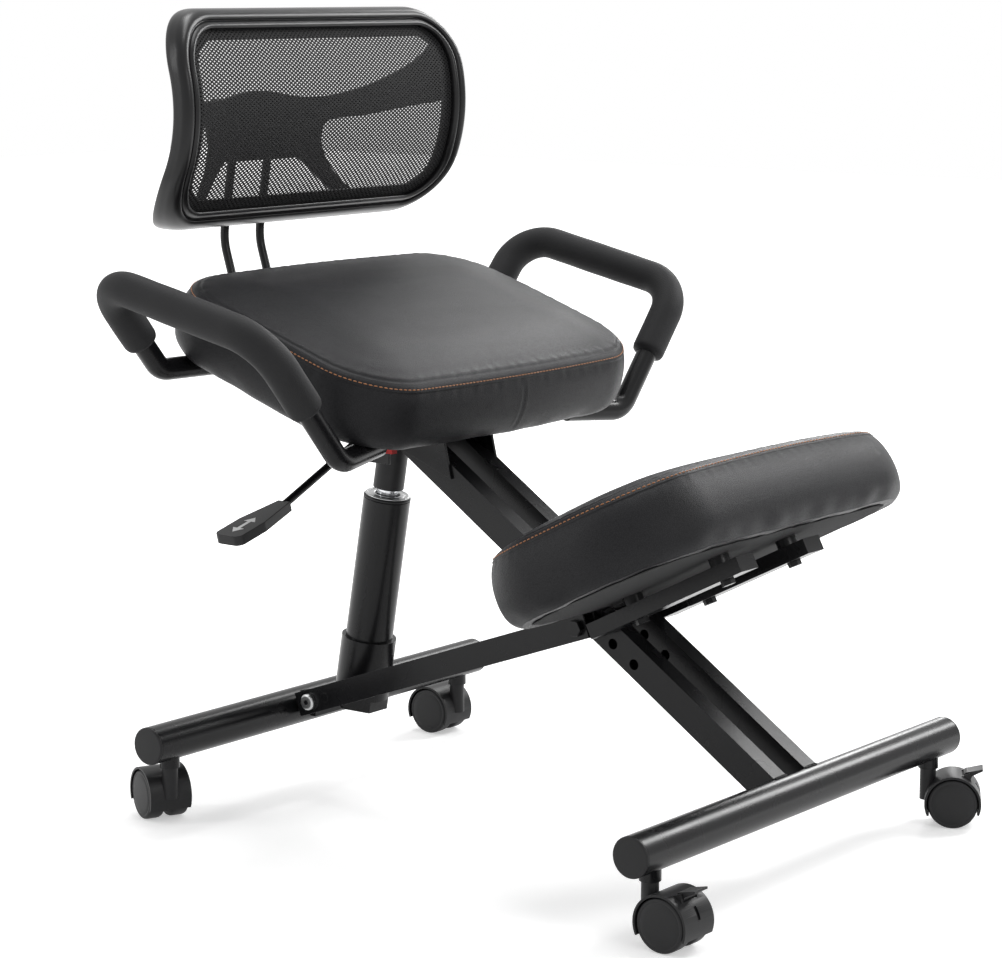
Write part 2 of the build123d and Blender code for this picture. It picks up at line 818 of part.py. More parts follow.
slope_way = (-slope_run, 0, -slope_fall)
with BuildPart() as lever_rod:
    with BuildLine() as lever_path:
        FilletPolyline(
            (lever_inner_reach, lever_y, lever_z),
            (-lever_bend_reach, lever_y, lever_z),
            (paddle_x, lever_y, paddle_z),
            radius=lever_bend_radius,
        )
    with BuildSketch(Plane(origin=lever_path.line @ 0, z_dir=lever_path.line % 0)):
        Circle(lever_rod_diameter / 2)
    sweep(path=lever_path.line)
    ball_centre = (ball_x, lever_y, ball_z)
    with BuildSketch(Plane(origin=ball_centre, x_dir=(0, 1, 0), z_dir=(slope_fall, 0, -slope_run))):
        with BuildLine():
            ball_bow = CenterArc((0, 0), lever_ball_diameter / 2, -90, 180)
            Line(ball_bow @ 1, ball_bow @ 0)
        make_face()
    revolve(axis=Axis(origin=ball_centre, direction=slope_way))
export(lever_rod.part, "lever_rod")

with BuildPart() as lever_paddle:
    with BuildSketch(paddle_plane.offset(-paddle_thickness / 2)):
        with BuildLine():
            Polyline(
                (-paddle_root, -paddle_root_width / 2),
                (paddle_shoulder, -paddle_tip_width / 2),
                (paddle_length - paddle_root, -paddle_tip_width / 2),
                (paddle_length - paddle_root, paddle_tip_width / 2),
                (paddle_shoulder, paddle_tip_width / 2),
                (-paddle_root, paddle_root_width / 2),
                close=True,
            )
        make_face()
        fillet(vertices().sort_by(SortBy.DISTANCE)[-4:], paddle_corner)
    extrude(amount=paddle_thickness)
    fillet(lever_paddle.faces().sort_by(Axis.Z)[-1].edges(), paddle_edge)
    add(lever_rod.part, mode=Mode.SUBTRACT)
export(lever_paddle.part, "lever_paddle")


# Cushions: lofted through rounded outlines with a crown on top, hollowed for their boards
def outline(plane, half_width, half_depth, corner, bow):
    """Rounded oblong whose four sides bow outwards a little."""
    with BuildSketch(plane) as shape:
        with BuildLine():
            ThreePointArc((-half_width, -half_depth), (0, -half_depth - bow), (half_width, -half_depth))
            ThreePointArc((half_width, -half_depth), (half_width + bow / 2, 0), (half_width, half_depth))
            ThreePointArc((half_width, half_depth), (0, half_depth + bow / 2), (-half_width, half_depth))
            ThreePointArc((-half_width, half_depth), (-half_width - bow / 2, 0), (-half_width, -half_depth))
        make_face()
        fillet(shape.vertices(), corner)
    return shape.sketch


# Share of the thickness and inset of each outline, from the lower edge to the crown
cushion_levels = (
    (0.0, 10.0),
    (0.06, 5.5),
    (0.15, 2.0),
    (0.30, 0.4),
    (0.50, 0.0),
    (0.66, 1.5),
    (0.76, 5.0),
    (0.84, 12.0),
    (0.90, 24.0),
    (0.95, 42.0),
    (0.985, 66.0),
    (1.0, 92.0),
)


def board_outline(plane, half_width, half_depth, corner, bow):
    return outline(plane, half_width - board_inset, half_depth - board_inset, corner - board_inset, bow)


def make_cushion(label, plane, thickness, half_width, half_depth, corner, bow):
    levels = []
    for share, inset in cushion_levels:
        level = plane.offset(share * thickness)
        round_corner = max(corner - inset * crown_corner_share, crown_corner_least)
        levels.append(outline(level, half_width - inset, half_depth - inset, round_corner, bow))
    with BuildPart() as cushion:
        loft(sections=levels, ruled=True)
        extrude(
            board_outline(plane, half_width, half_depth, corner, bow),
            amount=board_thickness - board_drop,
            mode=Mode.SUBTRACT,
        )
    export(cushion.part, label)


def make_board(label, plane, *shape):
    with BuildPart() as board:
        extrude(board_outline(plane.offset(-board_drop), *shape), amount=board_thickness)
    export(board.part, label)


seat_shape = (seat_half_width, seat_half_depth, seat_corner, seat_bow)
make_board("seat_board", seat_plane, *seat_shape)
make_cushion("seat_cushion", seat_plane, seat_thickness, *seat_shape)
pad_bottom = -pad_thickness / 2
pad_base = pad_plane.offset(pad_bottom)
pad_shape = (pad_half_width, pad_half_depth, pad_corner, pad_bow)
make_board("knee_board", pad_base, *pad_shape)
make_cushion("knee_cushion", pad_base, pad_thickness, *pad_shape)


# Knee pad arms: a flat tube each, welded to a plate on the stretcher's inner face, and their bolts
board_under = pad_bottom - board_drop
arm_bottom_level = -arm_drop
arm_top_level = arm_bottom_level + arm_height
arm_middle_x = stretcher_inner + arm_width / 2


def make_arm(label, side):
    with BuildPart() as arm:
        with BuildSketch(side_plane(side * plate_inner)):
            with Locations(scissor):
                Circle(arm_plate_round)
            with BuildLine():
                Polyline(
                    (scissor_y + arm_plate_round, scissor_z),
                    side_of(pad_plane, arm_rear, arm_top_level),
                    side_of(pad_plane, arm_rear + arm_weld_length, arm_top_level),
                    side_of(pad_plane, arm_rear + arm_weld_length, arm_bottom_level),
                    side_of(pad_plane, arm_rear, arm_bottom_level),
                    (scissor_y, scissor_z - arm_plate_round),
                    close=True,
                )
            make_face()
            with Locations(scissor):
                Circle(pivot_bolt_diameter / 2, mode=Mode.SUBTRACT)
        extrude(amount=side * arm_plate)
        with BuildSketch(pad_plane.offset(arm_bottom_level)):
            with Locations((-side * arm_middle_x, (arm_rear + arm_front) / 2)):
                Rectangle(arm_width, arm_front - arm_rear)
        extrude(amount=arm_height)
        with BuildSketch(pad_plane.offset(arm_bottom_level)):
            with Locations((-side * arm_middle_x, pad_bolt_rear), (-side * arm_middle_x, pad_bolt_front)):
                Circle(pad_bolt_diameter / 2)
        extrude(amount=arm_height, mode=Mode.SUBTRACT)
    export(arm.part, label)


def make_pad_bolt(label, side, place):
    with BuildPart() as bolt:
        with BuildSketch(pad_plane.offset(arm_bottom_level)):
            with Locations((-side * arm_middle_x, place)):
                Circle(pad_bolt_diameter / 2)
        extrude(amount=board_under - arm_bottom_level)
        with BuildSketch(pad_plane.offset(arm_top_level)):
            with Locations((-side * arm_middle_x, place)):
                Circle(pad_spacer_diameter / 2)
        extrude(amount=board_under - arm_top_level)
        with BuildSketch(pad_plane.offset(arm_bottom_level)):
            with Locations((-side * arm_middle_x, place)):
                RegularPolygon(pad_bolt_head_diameter / 2, 6)
        extrude(amount=-pad_bolt_head_height)
    export(bolt.part, label)


for name, side in sides.items():
    make_arm("knee_arm_" + name, side)
    make_pad_bolt("knee_bolt_" + name + "_rear", side, pad_bolt_rear)
    make_pad_bolt("knee_bolt_" + name + "_front", side, pad_bolt_front)


# Handles: one bent tube each, both ends under the seat board, with a foam grip round the loop
tube_level = board_level - handle_tube_diameter / 2


def seat_point(side, x, v, n):
    return seat_plane.from_local_coords(Vector(side * x, v, n))


def between(low, high, level):
    """Point of a leg at this level above the seat plane."""
    share = (level - low[2]) / (high[2] - low[2])
    return tuple(a + share * (b - a) for a, b in zip(low, high))


front_foot = (*handle_front_foot, tube_level)
rear_foot = (*handle_rear_foot, tube_level)
loop_radii = [handle_front_top_radius, handle_rear_top_radius]
handle_route = (
    (handle_inner_end, handle_front_end_v, tube_level),
    front_foot,
    handle_front_top,
    handle_rear_top,
    rear_foot,
    (handle_inner_end, handle_rear_end_v, tube_level),
)
grip_route = (
    between(front_foot, handle_front_top, grip_front_level),
    handle_front_top,
    handle_rear_top,
    between(rear_foot, handle_rear_top, grip_rear_level),
)


def make_bent_tube(label, side, route, radii, outer, inner):
    with BuildPart() as tube:
        with BuildLine() as path:
            FilletPolyline(*[seat_point(side, *place) for place in route], radius=radii)
        with BuildSketch(Plane(origin=path.line @ 0, z_dir=path.line % 0)):
            Circle(outer / 2)
            Circle(inner / 2, mode=Mode.SUBTRACT)
        sweep(path=path.line)
    export(tube.part, label)


for name, side in sides.items():
    make_bent_tube(
        "handle_tube_" + name,
        side,
        handle_route,
        [handle_front_foot_radius, *loop_radii, handle_rear_foot_radius],
        handle_tube_diameter,
        handle_tube_diameter - 2 * handle_tube_wall,
    )
    make_bent_tube("handle_grip_" + name, side, grip_route, loop_radii, grip_diameter, handle_tube_diameter)


# Back rod: one bar bent into a U, clamped under the seat, rising behind it into the back shell
rod_level = board_level - back_rod_diameter / 2
rod_start = side_of(seat_plane, back_rod_start, rod_level)
rod_heel = side_of(seat_plane, back_rod_heel, rod_level)
rod_entry = (back_rod_entry_y, band_bottom_z)
entry_rise = (rod_entry[0] - back_rod_bulge[0], rod_entry[1] - back_rod_bulge[1])
entry_share = back_rod_insertion / hypot(*entry_rise)
rod_top = (rod_entry[0] + entry_rise[0] * entry_share, rod_entry[1] + entry_rise[1] * entry_share)
rod_places = (rod_top, back_rod_bulge, rod_heel, rod_start)

with BuildPart() as back_rod:
    right_run = [(-back_rod_half_spacing, *place) for place in rod_places]
    left_run = [(back_rod_half_spacing, *place) for place in reversed(rod_places)]
    bends = [back_rod_bulge_radius, back_rod_heel_radius, back_rod_corner_radius]
    with BuildLine() as rod_path:
        FilletPolyline(*right_run, *left_run, radius=[*bends, *reversed(bends)])
    with BuildSketch(Plane(origin=rod_path.line @ 0, z_dir=rod_path.line % 0)):
        Circle(back_rod_diameter / 2)
    sweep(path=rod_path.line)
export(back_rod.part, "back_rod")

clamp_middle = seat_half_depth - board_inset - clamp_width
clamp_end = seat_plane.from_local_coords(Vector(0, clamp_middle - clamp_width / 2, 0))
with BuildPart() as rod_clamp:
    with BuildSketch(seat_plane.offset(board_level)):
        with Locations((0, clamp_middle)):
            RectangleRounded(clamp_length, clamp_width, clamp_corner)
    extrude(amount=-(back_rod_diameter + clamp_cover))
    with BuildSketch(cross_plane(0, clamp_end.Y, clamp_end.Z, seat_tilt)):
        for side in sides.values():
            with Locations((side * back_rod_half_spacing, -rod_level)):
                Circle(back_rod_diameter / 2)
            with Locations((side * back_rod_half_spacing, -rod_level - back_rod_diameter / 4)):
                Rectangle(back_rod_diameter, back_rod_diameter / 2)
    extrude(amount=clamp_width, mode=Mode.SUBTRACT)
export(rod_clamp.part, "rod_clamp")


# Mesh back: the rim and the mesh follow a lumbar curve of two arcs that meet at its foremost point
back_plane = Plane(origin=(0, rear_bar_y + rear_bar_length, 0), x_dir=(1, 0, 0), z_dir=(0, -1, 0))
back_reach = 2 * rear_bar_length
back_middle_z = (back_top_z + back_bottom_z) / 2
ledge_front = mesh_thickness / 2 - mesh_forward + swing_gap
back_height = back_top_z - back_bottom_z


def lumbar_strip(front, rear):
    """Side view strip between two offsets of the lumbar curve."""
    upper_y = lumbar_y + lumbar_upper_radius
    lower_y = lumbar_y + lumbar_lower_radius

    def place(centre_y, radius, share, sign):
        turn = asin(lumbar_reach / radius) * share
        return (centre_y - radius * cos(turn), lumbar_z + sign * radius * sin(turn))

    def upper(offset):
        return [place(upper_y, lumbar_upper_radius - offset, share, 1) for share in (1.0, 0.5, 0.0)]

    def lower(offset):
        return [place(lower_y, lumbar_lower_radius - offset, share, -1) for share in (0.0, 0.5, 1.0)]

    with BuildSketch(side_plane(-back_half_width)) as strip:
        with BuildLine():
            front_high = ThreePointArc(*upper(front))
            front_low = ThreePointArc(*lower(front))
            rear_high = ThreePointArc(*upper(rear))
            rear_low = ThreePointArc(*lower(rear))
            Line(front_low @ 1, rear_low @ 1)
            Line(front_high @ 0, rear_high @ 0)
        make_face()
    return strip.sketch


def back_oblong(inset):
    RectangleRounded(2 * (back_half_width - inset), back_height - 2 * inset, back_corner - inset)


with BuildPart() as rim_groove:
    extrude(
        lumbar_strip(-rim_depth, -rim_depth / 2 + rim_groove_depth),
        amount=2 * back_half_width,
    )
    with BuildSketch(back_plane):
        with Locations((0, back_middle_z)):
            back_oblong(rim_bead)
    extrude(amount=back_reach, mode=Mode.INTERSECT)
    with BuildSketch(back_plane):
        with Locations((0, back_middle_z)):
            back_oblong(rim_bead + rim_groove_width)
    extrude(amount=back_reach, mode=Mode.SUBTRACT)

with BuildPart() as rim_ledge:
    extrude(lumbar_strip(ledge_front, ledge_front + rim_ledge_depth), amount=2 * back_half_width)
    with BuildSketch(back_plane):
        with Locations((0, back_middle_z)):
            back_oblong(rim_width / 2)
            RectangleRounded(
                2 * (back_half_width - rim_width - rim_ledge_width),
                back_height - 2 * (rim_width + rim_ledge_width),
                back_corner - rim_width - rim_ledge_width,
                mode=Mode.SUBTRACT,
            )
    extrude(amount=back_reach, mode=Mode.INTERSECT)

with BuildPart() as back_rim:
    with BuildSketch(back_plane):
        with Locations((0, back_middle_z)):
            back_oblong(0)
    extrude(amount=back_reach)
    extrude(lumbar_strip(-rim_depth / 2, rim_depth / 2), amount=2 * back_half_width, mode=Mode.INTERSECT)
    with BuildSketch(back_plane):
        with Locations((0, back_middle_z)):
            back_oblong(rim_width)
    extrude(amount=back_reach, mode=Mode.SUBTRACT)
    add(rim_groove.part, mode=Mode.SUBTRACT)
    add(rim_ledge.part)
export(back_rim.part, "back_rim")

# Mesh: one sheet with a grid of gaps, stretched inside the rim
open_width = 2 * (back_half_width - rim_width)
open_height = back_height - 2 * rim_width
mesh_pitch_x = (open_width - mesh_strand) / mesh_columns
mesh_pitch_z = (open_height - mesh_strand) / mesh_rows
mesh_corner = back_corner - rim_width


def gap_is_inside(x, z):
    """True where a gap's far corner stays a strand inside the rounded opening."""
    over_x = abs(x) + mesh_pitch_x / 2 - (open_width / 2 - mesh_corner)
    over_z = abs(z) + mesh_pitch_z / 2 - (open_height / 2 - mesh_corner)
    return min(over_x, over_z) < 0 or hypot(over_x, over_z) < mesh_corner


gap_columns = [(column - (mesh_columns - 1) / 2) * mesh_pitch_x for column in range(mesh_columns)]
gap_rows = [(row - (mesh_rows - 1) / 2) * mesh_pitch_z for row in range(mesh_rows)]
mesh_gaps = [(x, back_middle_z + z) for x in gap_columns for z in gap_rows if gap_is_inside(x, z)]
with BuildPart() as back_mesh:
    with BuildSketch(back_plane):
        with Locations((0, back_middle_z)):
            back_oblong(rim_width)
        with Locations(*mesh_gaps):
            Rectangle(mesh_pitch_x - mesh_strand, mesh_pitch_z - mesh_strand, mode=Mode.SUBTRACT)
    extrude(amount=back_reach)
    extrude(
        lumbar_strip(-mesh_forward - mesh_thickness / 2, -mesh_forward + mesh_thickness / 2),
        amount=2 * back_half_width,
        mode=Mode.INTERSECT,
    )
export(back_mesh.part, "back_mesh")
print("mesh gaps", len(mesh_gaps))


# Back shell: a bowed band behind the mesh, with wings to the rim, a block for the rods, two legs
# and a flange that meets the rim's lower run
shell_sag = shell_centre_y - shell_edge_y
shell_radius = (back_half_width**2 + shell_sag**2) / (2 * shell_sag)
flange_front_y = lumbar_y + lumbar_lower_radius - (
    lumbar_lower_radius**2 - (lumbar_z - back_bottom_z) ** 2
) ** 0.5
flange_half = slot_bottom_half + leg_width


def shell_y(x):
    """Depth of the shell's front face at this distance from the middle."""
    return shell_centre_y - shell_radius + (shell_radius**2 - x**2) ** 0.5


with BuildPart() as back_shell:
    with BuildSketch(Plane.XY.offset(back_bottom_z)):
        with BuildLine():
            front_face = ThreePointArc(
                (-back_half_width, shell_edge_y), (0, shell_centre_y), (back_half_width, shell_edge_y)
            )
            rear_face = ThreePointArc(
                (-back_half_width, shell_edge_y + shell_thickness),
                (0, shell_centre_y + shell_thickness),
                (back_half_width, shell_edge_y + shell_thickness),
            )
            Line(front_face @ 0, rear_face @ 0)
            Line(front_face @ 1, rear_face @ 1)
        make_face()
    extrude(amount=back_height)
    with BuildSketch(back_plane):
        with BuildLine():
            top = ThreePointArc(
                (0, band_top_z), (band_half_width, band_top_z - band_dip), (back_half_width - rim_width, wing_top_z)
            )
            corner = Line(top @ 1, (back_half_width, wing_top_z + leg_width))
            Polyline(
                corner @ 1,
                (back_half_width, wing_low_z),
                (band_half_width, wing_root_z),
                (band_half_width, band_bottom_z),
                (slot_bottom_half + leg_width, back_bottom_z),
                (slot_bottom_half, back_bottom_z),
                (slot_top_half, band_bottom_z),
                (0, band_bottom_z),
                (0, band_top_z),
            )
        make_face()
        mirror(about=Plane.YZ)
        with Locations((0, back_middle_z)):
            RectangleRounded(
                2 * back_half_width - rim_width,
                back_height - rim_width,
                back_corner - rim_width / 2,
                mode=Mode.INTERSECT,
            )
    extrude(amount=back_reach, mode=Mode.INTERSECT)
    with BuildSketch(Plane.XY.offset(back_bottom_z + flange_lift)):
        with BuildLine():
            bow = ThreePointArc(
                (-flange_half, shell_y(flange_half)),
                (0, shell_centre_y + shell_thickness),
                (flange_half, shell_y(flange_half)),
            )
            Polyline(bow @ 0, (-flange_half, flange_front_y), (flange_half, flange_front_y), bow @ 1)
        make_face()
    extrude(amount=flange_height)
    with BuildSketch(Plane.XY.offset(band_bottom_z)):
        with Locations((0, shell_centre_y + block_depth / 2)):
            RectangleRounded(2 * block_half_width, block_depth, block_corner)
    extrude(amount=band_top_z - band_bottom_z - block_top_drop)
    add(back_rim.part, mode=Mode.SUBTRACT)
    add(back_rod.part, mode=Mode.SUBTRACT)
export(back_shell.part, "back_shell")
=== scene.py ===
import json
import math

import bmesh
import bpy
import numpy as np
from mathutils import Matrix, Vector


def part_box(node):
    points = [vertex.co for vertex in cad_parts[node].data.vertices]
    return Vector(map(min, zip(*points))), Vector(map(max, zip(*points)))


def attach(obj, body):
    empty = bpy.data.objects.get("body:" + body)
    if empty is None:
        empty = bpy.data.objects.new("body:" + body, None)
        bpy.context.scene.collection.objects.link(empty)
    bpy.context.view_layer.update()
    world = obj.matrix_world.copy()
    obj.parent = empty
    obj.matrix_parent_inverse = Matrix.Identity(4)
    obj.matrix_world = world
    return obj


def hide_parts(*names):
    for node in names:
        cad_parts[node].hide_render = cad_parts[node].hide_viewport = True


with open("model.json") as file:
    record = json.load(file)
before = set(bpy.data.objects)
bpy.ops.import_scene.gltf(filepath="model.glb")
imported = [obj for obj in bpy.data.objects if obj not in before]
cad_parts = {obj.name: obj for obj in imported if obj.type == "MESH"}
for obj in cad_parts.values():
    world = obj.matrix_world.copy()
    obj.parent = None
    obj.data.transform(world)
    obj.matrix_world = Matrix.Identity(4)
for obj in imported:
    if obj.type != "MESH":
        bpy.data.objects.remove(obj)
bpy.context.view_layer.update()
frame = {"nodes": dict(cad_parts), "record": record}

print("frame loaded", len(frame["nodes"]), "nodes")

mm = 0.001
sides = {"right": -1, "left": 1}


# Wire is one shader socket with maths, Finish is one material
class Wire:
    def __init__(self, tree, socket):
        self.tree = tree
        self.socket = socket

    def maths(self, operation, other, swapped=False):
        node = self.tree.nodes.new("ShaderNodeMath")
        node.operation = operation
        pair = (other, self) if swapped else (self, other)
        for place, value in enumerate(pair):
            plug(self.tree, node.inputs[place], value)
        return Wire(self.tree, node.outputs[0])

    def __add__(self, other):
        return self.maths("ADD", other)

    def __radd__(self, other):
        return self.maths("ADD", other, True)

    def __sub__(self, other):
        return self.maths("SUBTRACT", other)

    def __rsub__(self, other):
        return self.maths("SUBTRACT", other, True)

    def __mul__(self, other):
        return self.maths("MULTIPLY", other)

    def __rmul__(self, other):
        return self.maths("MULTIPLY", other, True)

    def __lt__(self, other):
        return self.maths("LESS_THAN", other)

    def __gt__(self, other):
        return self.maths("GREATER_THAN", other)


def plug(tree, target, value):
    if isinstance(value, Wire):
        tree.links.new(value.socket, target)
    else:
        target.default_value = value


class Finish:
    def __init__(self, name, **constants):
        self.material = bpy.data.materials.new(name)
        self.material.use_nodes = True
        self.tree = self.material.node_tree
        self.shader = self.tree.nodes["Principled BSDF"]
        for label, value in constants.items():
            self.shader.inputs[label.replace("_", " ")].default_value = value

    # one node: its type, its settings first, then its sockets
    def node(self, kind, settings=None, sockets=None, out=0):
        node = self.tree.nodes.new("ShaderNode" + kind)
        for label, value in (settings or {}).items():
            setattr(node, label, value)
        for label, value in (sockets or {}).items():
            plug(self.tree, node.inputs[label], value)
        return Wire(self.tree, node.outputs[out])

    def objectPlace(self, scale=(1, 1, 1)):
        place = self.node("TexCoord", out=3)
        return self.node("Mapping", sockets={"Vector": place, "Scale": scale})

    def noise(self, place, scale, detail):
        return self.node("TexNoise", sockets={"Vector": place, "Scale": scale, "Detail": detail})

    # soft rise from 0 at the low value to 1 at the high one
    def softRise(self, value, low, high):
        return self.node("MapRange", {"interpolation_type": "SMOOTHSTEP"}, {"Value": value, 1: low, 2: high})

    def mixColour(self, share, dark, light):
        return self.node(
            "Mix", {"data_type": "RGBA"}, {0: share, 6: (*dark, 1.0), 7: (*light, 1.0)}, out=2
        )

    def feed(self, label, wire):
        plug(self.tree, self.shader.inputs[label], wire)

    def bump(self, height, strength, distance):
        bent = self.node("Bump", sockets={"Height": height, "Strength": strength, "Distance": distance})
        self.feed("Normal", bent)


def makeSteelPaint():
    # powder coat: faint orange peel, cloudy gloss, specks of dust
    look = Finish("blackPowderCoat", Specular_IOR_Level=0.22)
    place = look.objectPlace()
    cloud = look.noise(place, 14.0, 4.0)
    peel = look.noise(place, 900.0, 2.0)
    look.feed("Base Color", look.mixColour(cloud, (0.0045, 0.0045, 0.005), (0.009, 0.009, 0.010)))
    look.feed("Roughness", cloud * 0.14 + 0.20)
    look.bump(peel, 0.10, 0.0004)
    return look.material


def makeLeather():
    # small creased cells over a soft cloud, the creases duller and painted a little darker as shade
    look = Finish("charcoalLeather", Specular_IOR_Level=0.12)
    place = look.objectPlace()
    drift = look.noise(place, 60.0, 2.0)
    bentPlace = look.node("VectorMath", {"operation": "ADD"}, {0: place, 1: drift * 0.004})
    cells = look.node(
        "TexVoronoi", {"feature": "DISTANCE_TO_EDGE"}, {"Vector": bentPlace, "Scale": 620.0}
    )
    fine = look.noise(place, 1500.0, 3.0)
    cloud = look.noise(place, 9.0, 4.0)
    crease = look.softRise(cells, 0.0, 0.22)
    # painted shade: the colour darkens in the creases between the cells, mixed with the cloud's random tone
    creaseShadeAndTone = crease * 0.7 + cloud * 0.3
    look.feed("Base Color", look.mixColour(creaseShadeAndTone, (0.012, 0.012, 0.0130), (0.021, 0.021, 0.0228)))
    look.feed("Roughness", 0.42 + cloud * 0.10 - crease * 0.08)
    look.bump(crease + fine * 0.35, 0.30, 0.00035)
    return look.material


def makeGlossPlastic(name, low, high, roughness, grain):
    # moulded plastic: fine spark texture and slow gloss drift
    look = Finish(name, Specular_IOR_Level=0.25)
    place = look.objectPlace()
    cloud = look.noise(place, 22.0, 3.0)
    spark = look.noise(place, 1300.0, 2.0)
    look.feed("Base Color", look.mixColour(cloud, low, high))
    look.feed("Roughness", cloud * 0.12 + roughness)
    look.bump(spark, grain, 0.0003)
    return look.material


def makeFoam():
    # closed-cell foam: pores as small pits
    look = Finish("gripFoam", Specular_IOR_Level=0.2)
    place = look.objectPlace()
    pores = look.node("TexVoronoi", {"feature": "F1"}, {"Vector": place, "Scale": 900.0})
    cloud = look.noise(place, 40.0, 4.0)
    look.feed("Base Color", look.mixColour(cloud, (0.012, 0.012, 0.013), (0.022, 0.022, 0.023)))
    look.feed("Roughness", 0.58 + cloud * 0.14)
    look.bump(pores, 0.35, 0.0005)
    return look.material


def makeMetal(name, low, high, roughness, streak):
    # bright metal with turning marks drawn out along one axis
    look = Finish(name, Metallic=1.0)
    place = look.objectPlace((1.0, 1.0, streak))
    marks = look.noise(place, 420.0, 3.0)
    look.feed("Base Color", look.mixColour(marks, low, high))
    look.feed("Roughness", marks * 0.16 + roughness)
    look.bump(marks, 0.05, 0.0002)
    return look.material


def makeCloth(name, low, high, scale, roughness):
    # plain weave: two crossed bands of threads
    look = Finish(name, Sheen_Weight=0.06, Specular_IOR_Level=0.15)
    place = look.objectPlace()
    warp = look.node("TexWave", {"bands_direction": "X"}, {"Vector": place, "Scale": scale})
    weft = look.node("TexWave", {"bands_direction": "Z"}, {"Vector": place, "Scale": scale})
    weave = warp * weft
    fuzz = look.noise(place, 300.0, 4.0)
    look.feed("Base Color", look.mixColour(weave * 0.6 + fuzz * 0.4, low, high))
    look.feed("Roughness", roughness + fuzz * 0.1)
    look.bump(weave + fuzz * 0.3, 0.4, 0.0004)
    return look.material


def makeThread(name, low, high):
    # twisted sewing thread
    look = Finish(name, Sheen_Weight=0.3, Specular_IOR_Level=0.3)
    place = look.objectPlace()
    twist = look.node("TexWave", {"bands_direction": "DIAGONAL"}, {"Vector": place, "Scale": 900.0})
    look.feed("Base Color", look.mixColour(twist, low, high))
    look.feed("Roughness", 0.55 + twist * 0.15)
    look.bump(twist, 0.5, 0.0003)
    return look.material


steelPaint = makeSteelPaint()
leather = makeLeather()
gripFoam = makeFoam()
blackNylon = makeGlossPlastic("blackNylon", (0.007, 0.007, 0.0075), (0.015, 0.015, 0.016), 0.36, 0.16)
rimPlastic = makeGlossPlastic("rimPlastic", (0.006, 0.006, 0.0065), (0.011, 0.011, 0.012), 0.24, 0.06)
wheelNylon = makeGlossPlastic("wheelNylon", (0.010, 0.010, 0.0105), (0.019, 0.019, 0.020), 0.42, 0.22)
redPlastic = makeGlossPlastic("redPlastic", (0.36, 0.008, 0.008), (0.52, 0.016, 0.014), 0.3, 0.1)
whitePrint = makeGlossPlastic("whitePrint", (0.70, 0.70, 0.70), (0.82, 0.82, 0.82), 0.5, 0.1)
chrome = makeMetal("polishedRod", (0.58, 0.59, 0.61), (0.72, 0.73, 0.75), 0.10, 0.05)
zinc = makeMetal("zincSteel", (0.40, 0.41, 0.42), (0.58, 0.58, 0.57), 0.24, 1.0)
netYarn = makeCloth("netYarn", (0.006, 0.006, 0.0065), (0.016, 0.016, 0.017), 600.0, 0.55)
liningCloth = makeCloth("liningCloth", (0.008, 0.008, 0.0085), (0.022, 0.022, 0.023), 420.0, 0.8)
tanThread = makeThread("tanThread", (0.30, 0.105, 0.030), (0.52, 0.215, 0.075))
print("finishes made", len(bpy.data.materials))


# an object for a mesh, camera or lamp, linked into the scene
def putObject(name, data):
    item = bpy.data.objects.new(name, data)
    bpy.context.scene.collection.objects.link(item)
    return item


# doubles merged, then normals turned outwards
def faceOutwards(mesh):
    work = bmesh.new()
    work.from_mesh(mesh)
    bmesh.ops.remove_doubles(work, verts=work.verts, dist=1e-7)
    bmesh.ops.recalc_face_normals(work, faces=work.faces)
    work.to_mesh(mesh)
    work.free()
    mesh.update()


# one smooth piece on a body, in metres, with its faces outwards
def putPiece(name, points, faces, material, body):
    mesh = bpy.data.meshes.new(name)
    mesh.from_pydata(np.asarray(points, float).reshape(-1, 3).tolist(), [], faces)
    mesh.materials.append(material)
    mesh.polygons.foreach_set("use_smooth", np.ones(len(mesh.polygons), bool))
    mesh.update()
    faceOutwards(mesh)
    piece = putObject(name, mesh)
    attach(piece, body)
    return piece


# quads between neighbouring rows and columns of a grid: the columns close round, the rows where asked
def gridFaces(rows, columns, closeRows=False, start=0):
    r = np.arange(rows if closeRows else rows - 1)[:, None]
    c = np.arange(columns)[None, :]
    nextR = (r + 1) % rows
    nextC = (c + 1) % columns
    quads = np.stack(
        [r * columns + c, r * columns + nextC, nextR * columns + nextC, nextR * columns + c], axis=-1
    )
    return (quads.reshape(-1, 4) + start).tolist()


# triangles from an end row of a ring grid to one closing point
def poleFaces(rowStart, columns, pole, flipped):
    c = np.arange(columns)
    pair = np.stack([rowStart + c, rowStart + (c + 1) % columns], axis=-1)
    if flipped:
        pair = pair[:, ::-1]
    return np.column_stack([pair, np.full(columns, pole)]).tolist()


# tube of rows of points: quads between the rows, and triangles from both end rows to two points more
def tubeFaces(rows, columns, start=0):
    ends = start + rows * columns
    faces = gridFaces(rows, columns, start=start)
    faces += poleFaces(start, columns, ends, True)
    faces += poleFaces(ends - columns, columns, ends + 1, False)
    return faces


# even angles round a full turn
def roundAngles(count):
    return np.linspace(0, 2 * np.pi, count, endpoint=False)


# distance along a polyline from its first point to each of its points
def runningLength(points):
    return np.concatenate([[0.0], np.cumsum(np.linalg.norm(np.diff(points, axis=0), axis=1))])


# rise from 0 at the low value to 1 at the high one, level at both ends
def smoothStep(low, high, value):
    t = np.clip((value - low) / (high - low), 0, 1)
    return t * t * (3 - 2 * t)


# 1 between a soft rise and a soft fall, 0 outside them
def softBand(rise, fall, value):
    return smoothStep(*rise, value) * (1 - smoothStep(*fall, value))


# bell curve: 1 at no distance, falling off with the square of distance over width
def bell(distance, width):
    return np.exp(-((distance / width) ** 2))


# sum of sine waves, each given by its height, its pace along the run and its start
def sineSum(run, waves):
    return sum(height * np.sin(pace * run + start) for height, pace, start in waves)


